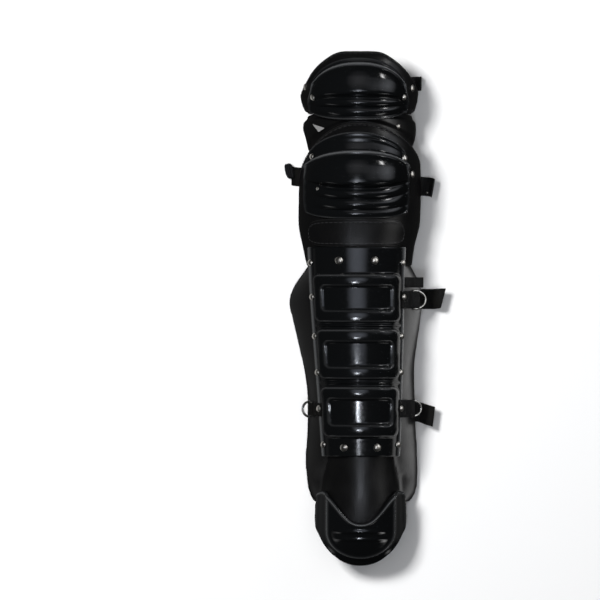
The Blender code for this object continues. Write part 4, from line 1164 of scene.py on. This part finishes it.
litPieces = {"flanks": ("wingLeft", "wingRight", "shinShell"), "caps": ("thighCap", "kneeCap"),
             "toe": ("toeCap",), "paper": ("floor",)}
litGroups = {group: bpy.data.collections.new(group) for group in ("shells", "padding", "metal", *litPieces)}


def addFloor():
    bm = bmesh.new()
    bmesh.ops.create_grid(bm, x_segments=1, y_segments=1, size=studio["floor"])
    sheet = addObject("floor", meshFrom("floor", bm))
    sheet.data.materials.append(newMaterial("matt white paper", "#f4f4f4", 0.9)[0])
    sheet.visible_glossy = False  # the paper throws no white light back into the gloss
    sheet.visible_diffuse = False


def addCamera():
    lens = bpy.data.cameras.new("camera")
    lens.lens, lens.clip_end = studio["lens"], studio["far"]
    camera = addObject("camera", lens)
    camera.location = studio["camera"]
    bpy.context.scene.camera = camera


def fadeOut(light):  # brightest in the middle of the panel, dark at its rim
    light.use_nodes = True
    tree = light.node_tree
    panel = addNode(tree, "NewGeometry", output="Parametric")
    place = addNode(tree, "Mapping", {"Vector": panel}, {"Location": (-1, -1, 0), "Scale": (2, 2, 1)})
    ball = addNode(tree, "TexGradient", {"Vector": place}, output="Fac", gradient_type="SPHERICAL")
    glow = addNode(tree, "Math", {0: ball}, {1: 2.0}, operation="MULTIPLY")
    tree.links.new(glow, tree.nodes["Emission"].inputs["Strength"])


def groupPieces():  # sorts the pieces into the groups that some lamps light alone
    for group, names in litPieces.items():
        for name in names:
            litGroups[group].objects.link(bpy.data.objects[name])
    for piece in bpy.context.scene.objects:
        finishes = {slot.material for slot in piece.material_slots}
        if finishes & {nickel, steel}:
            litGroups["metal"].objects.link(piece)
        if finishes & {vinyl, binding, nickel, steel}:
            litGroups["padding"].objects.link(piece)
        elif piece.name != "floor":
            litGroups["shells"].objects.link(piece)


def addPanel(name, size, brightness, lights):
    light = bpy.data.lights.new(name, "AREA")
    light.shape = "RECTANGLE"
    light.size, light.size_y = size
    light.energy = brightness * pi * size[0] * size[1]
    lamp = addObject(name, light)
    lamp.visible_camera = False
    if lights in litGroups:
        lamp.light_linking.receiver_collection = litGroups[lights]
    return lamp


def addLamp(name, turn, tilt, size, brightness, lights, colour="#ffffff", distance=2.5, glossy=True,
            fades=True):
    lamp = addPanel(name, size, brightness, lights)
    lamp.data.color = linear(colour)[:3]
    if fades:
        fadeOut(lamp.data)
    turn, tilt = radians(turn), radians(tilt)
    away = Vector((sin(turn) * sin(tilt), cos(turn) * sin(tilt), cos(tilt)))
    lamp.location = away * distance
    lamp.rotation_mode = "QUATERNION"
    lamp.rotation_quaternion = away.to_track_quat("Z", "Y")
    lamp.visible_glossy = glossy


def addBounce(name, middle, size, brightness, lights):
    lamp = addPanel(name, size, brightness, lights)
    lamp.location = middle
    if lights == "paper":
        lamp.visible_glossy = False
    else:
        lamp.rotation_euler = (pi, 0, 0)  # it faces up


def addWorld():
    world = bpy.data.worlds.new("studio")
    world.use_nodes = True
    background = world.node_tree.nodes["Background"]
    background.inputs["Color"].default_value = (1, 1, 1, 1)
    background.inputs["Strength"].default_value = studio["world"]
    bpy.context.scene.world = world
    bpy.context.scene.view_settings.view_transform = "Standard"


addFloor()
addCamera()
groupPieces()
for lampName, lampData in lamps.items():
    addLamp(lampName, *lampData)
for bounceName, bounceData in bounces.items():
    addBounce(bounceName, *bounceData)
addWorld()
print("floor, camera and light set")
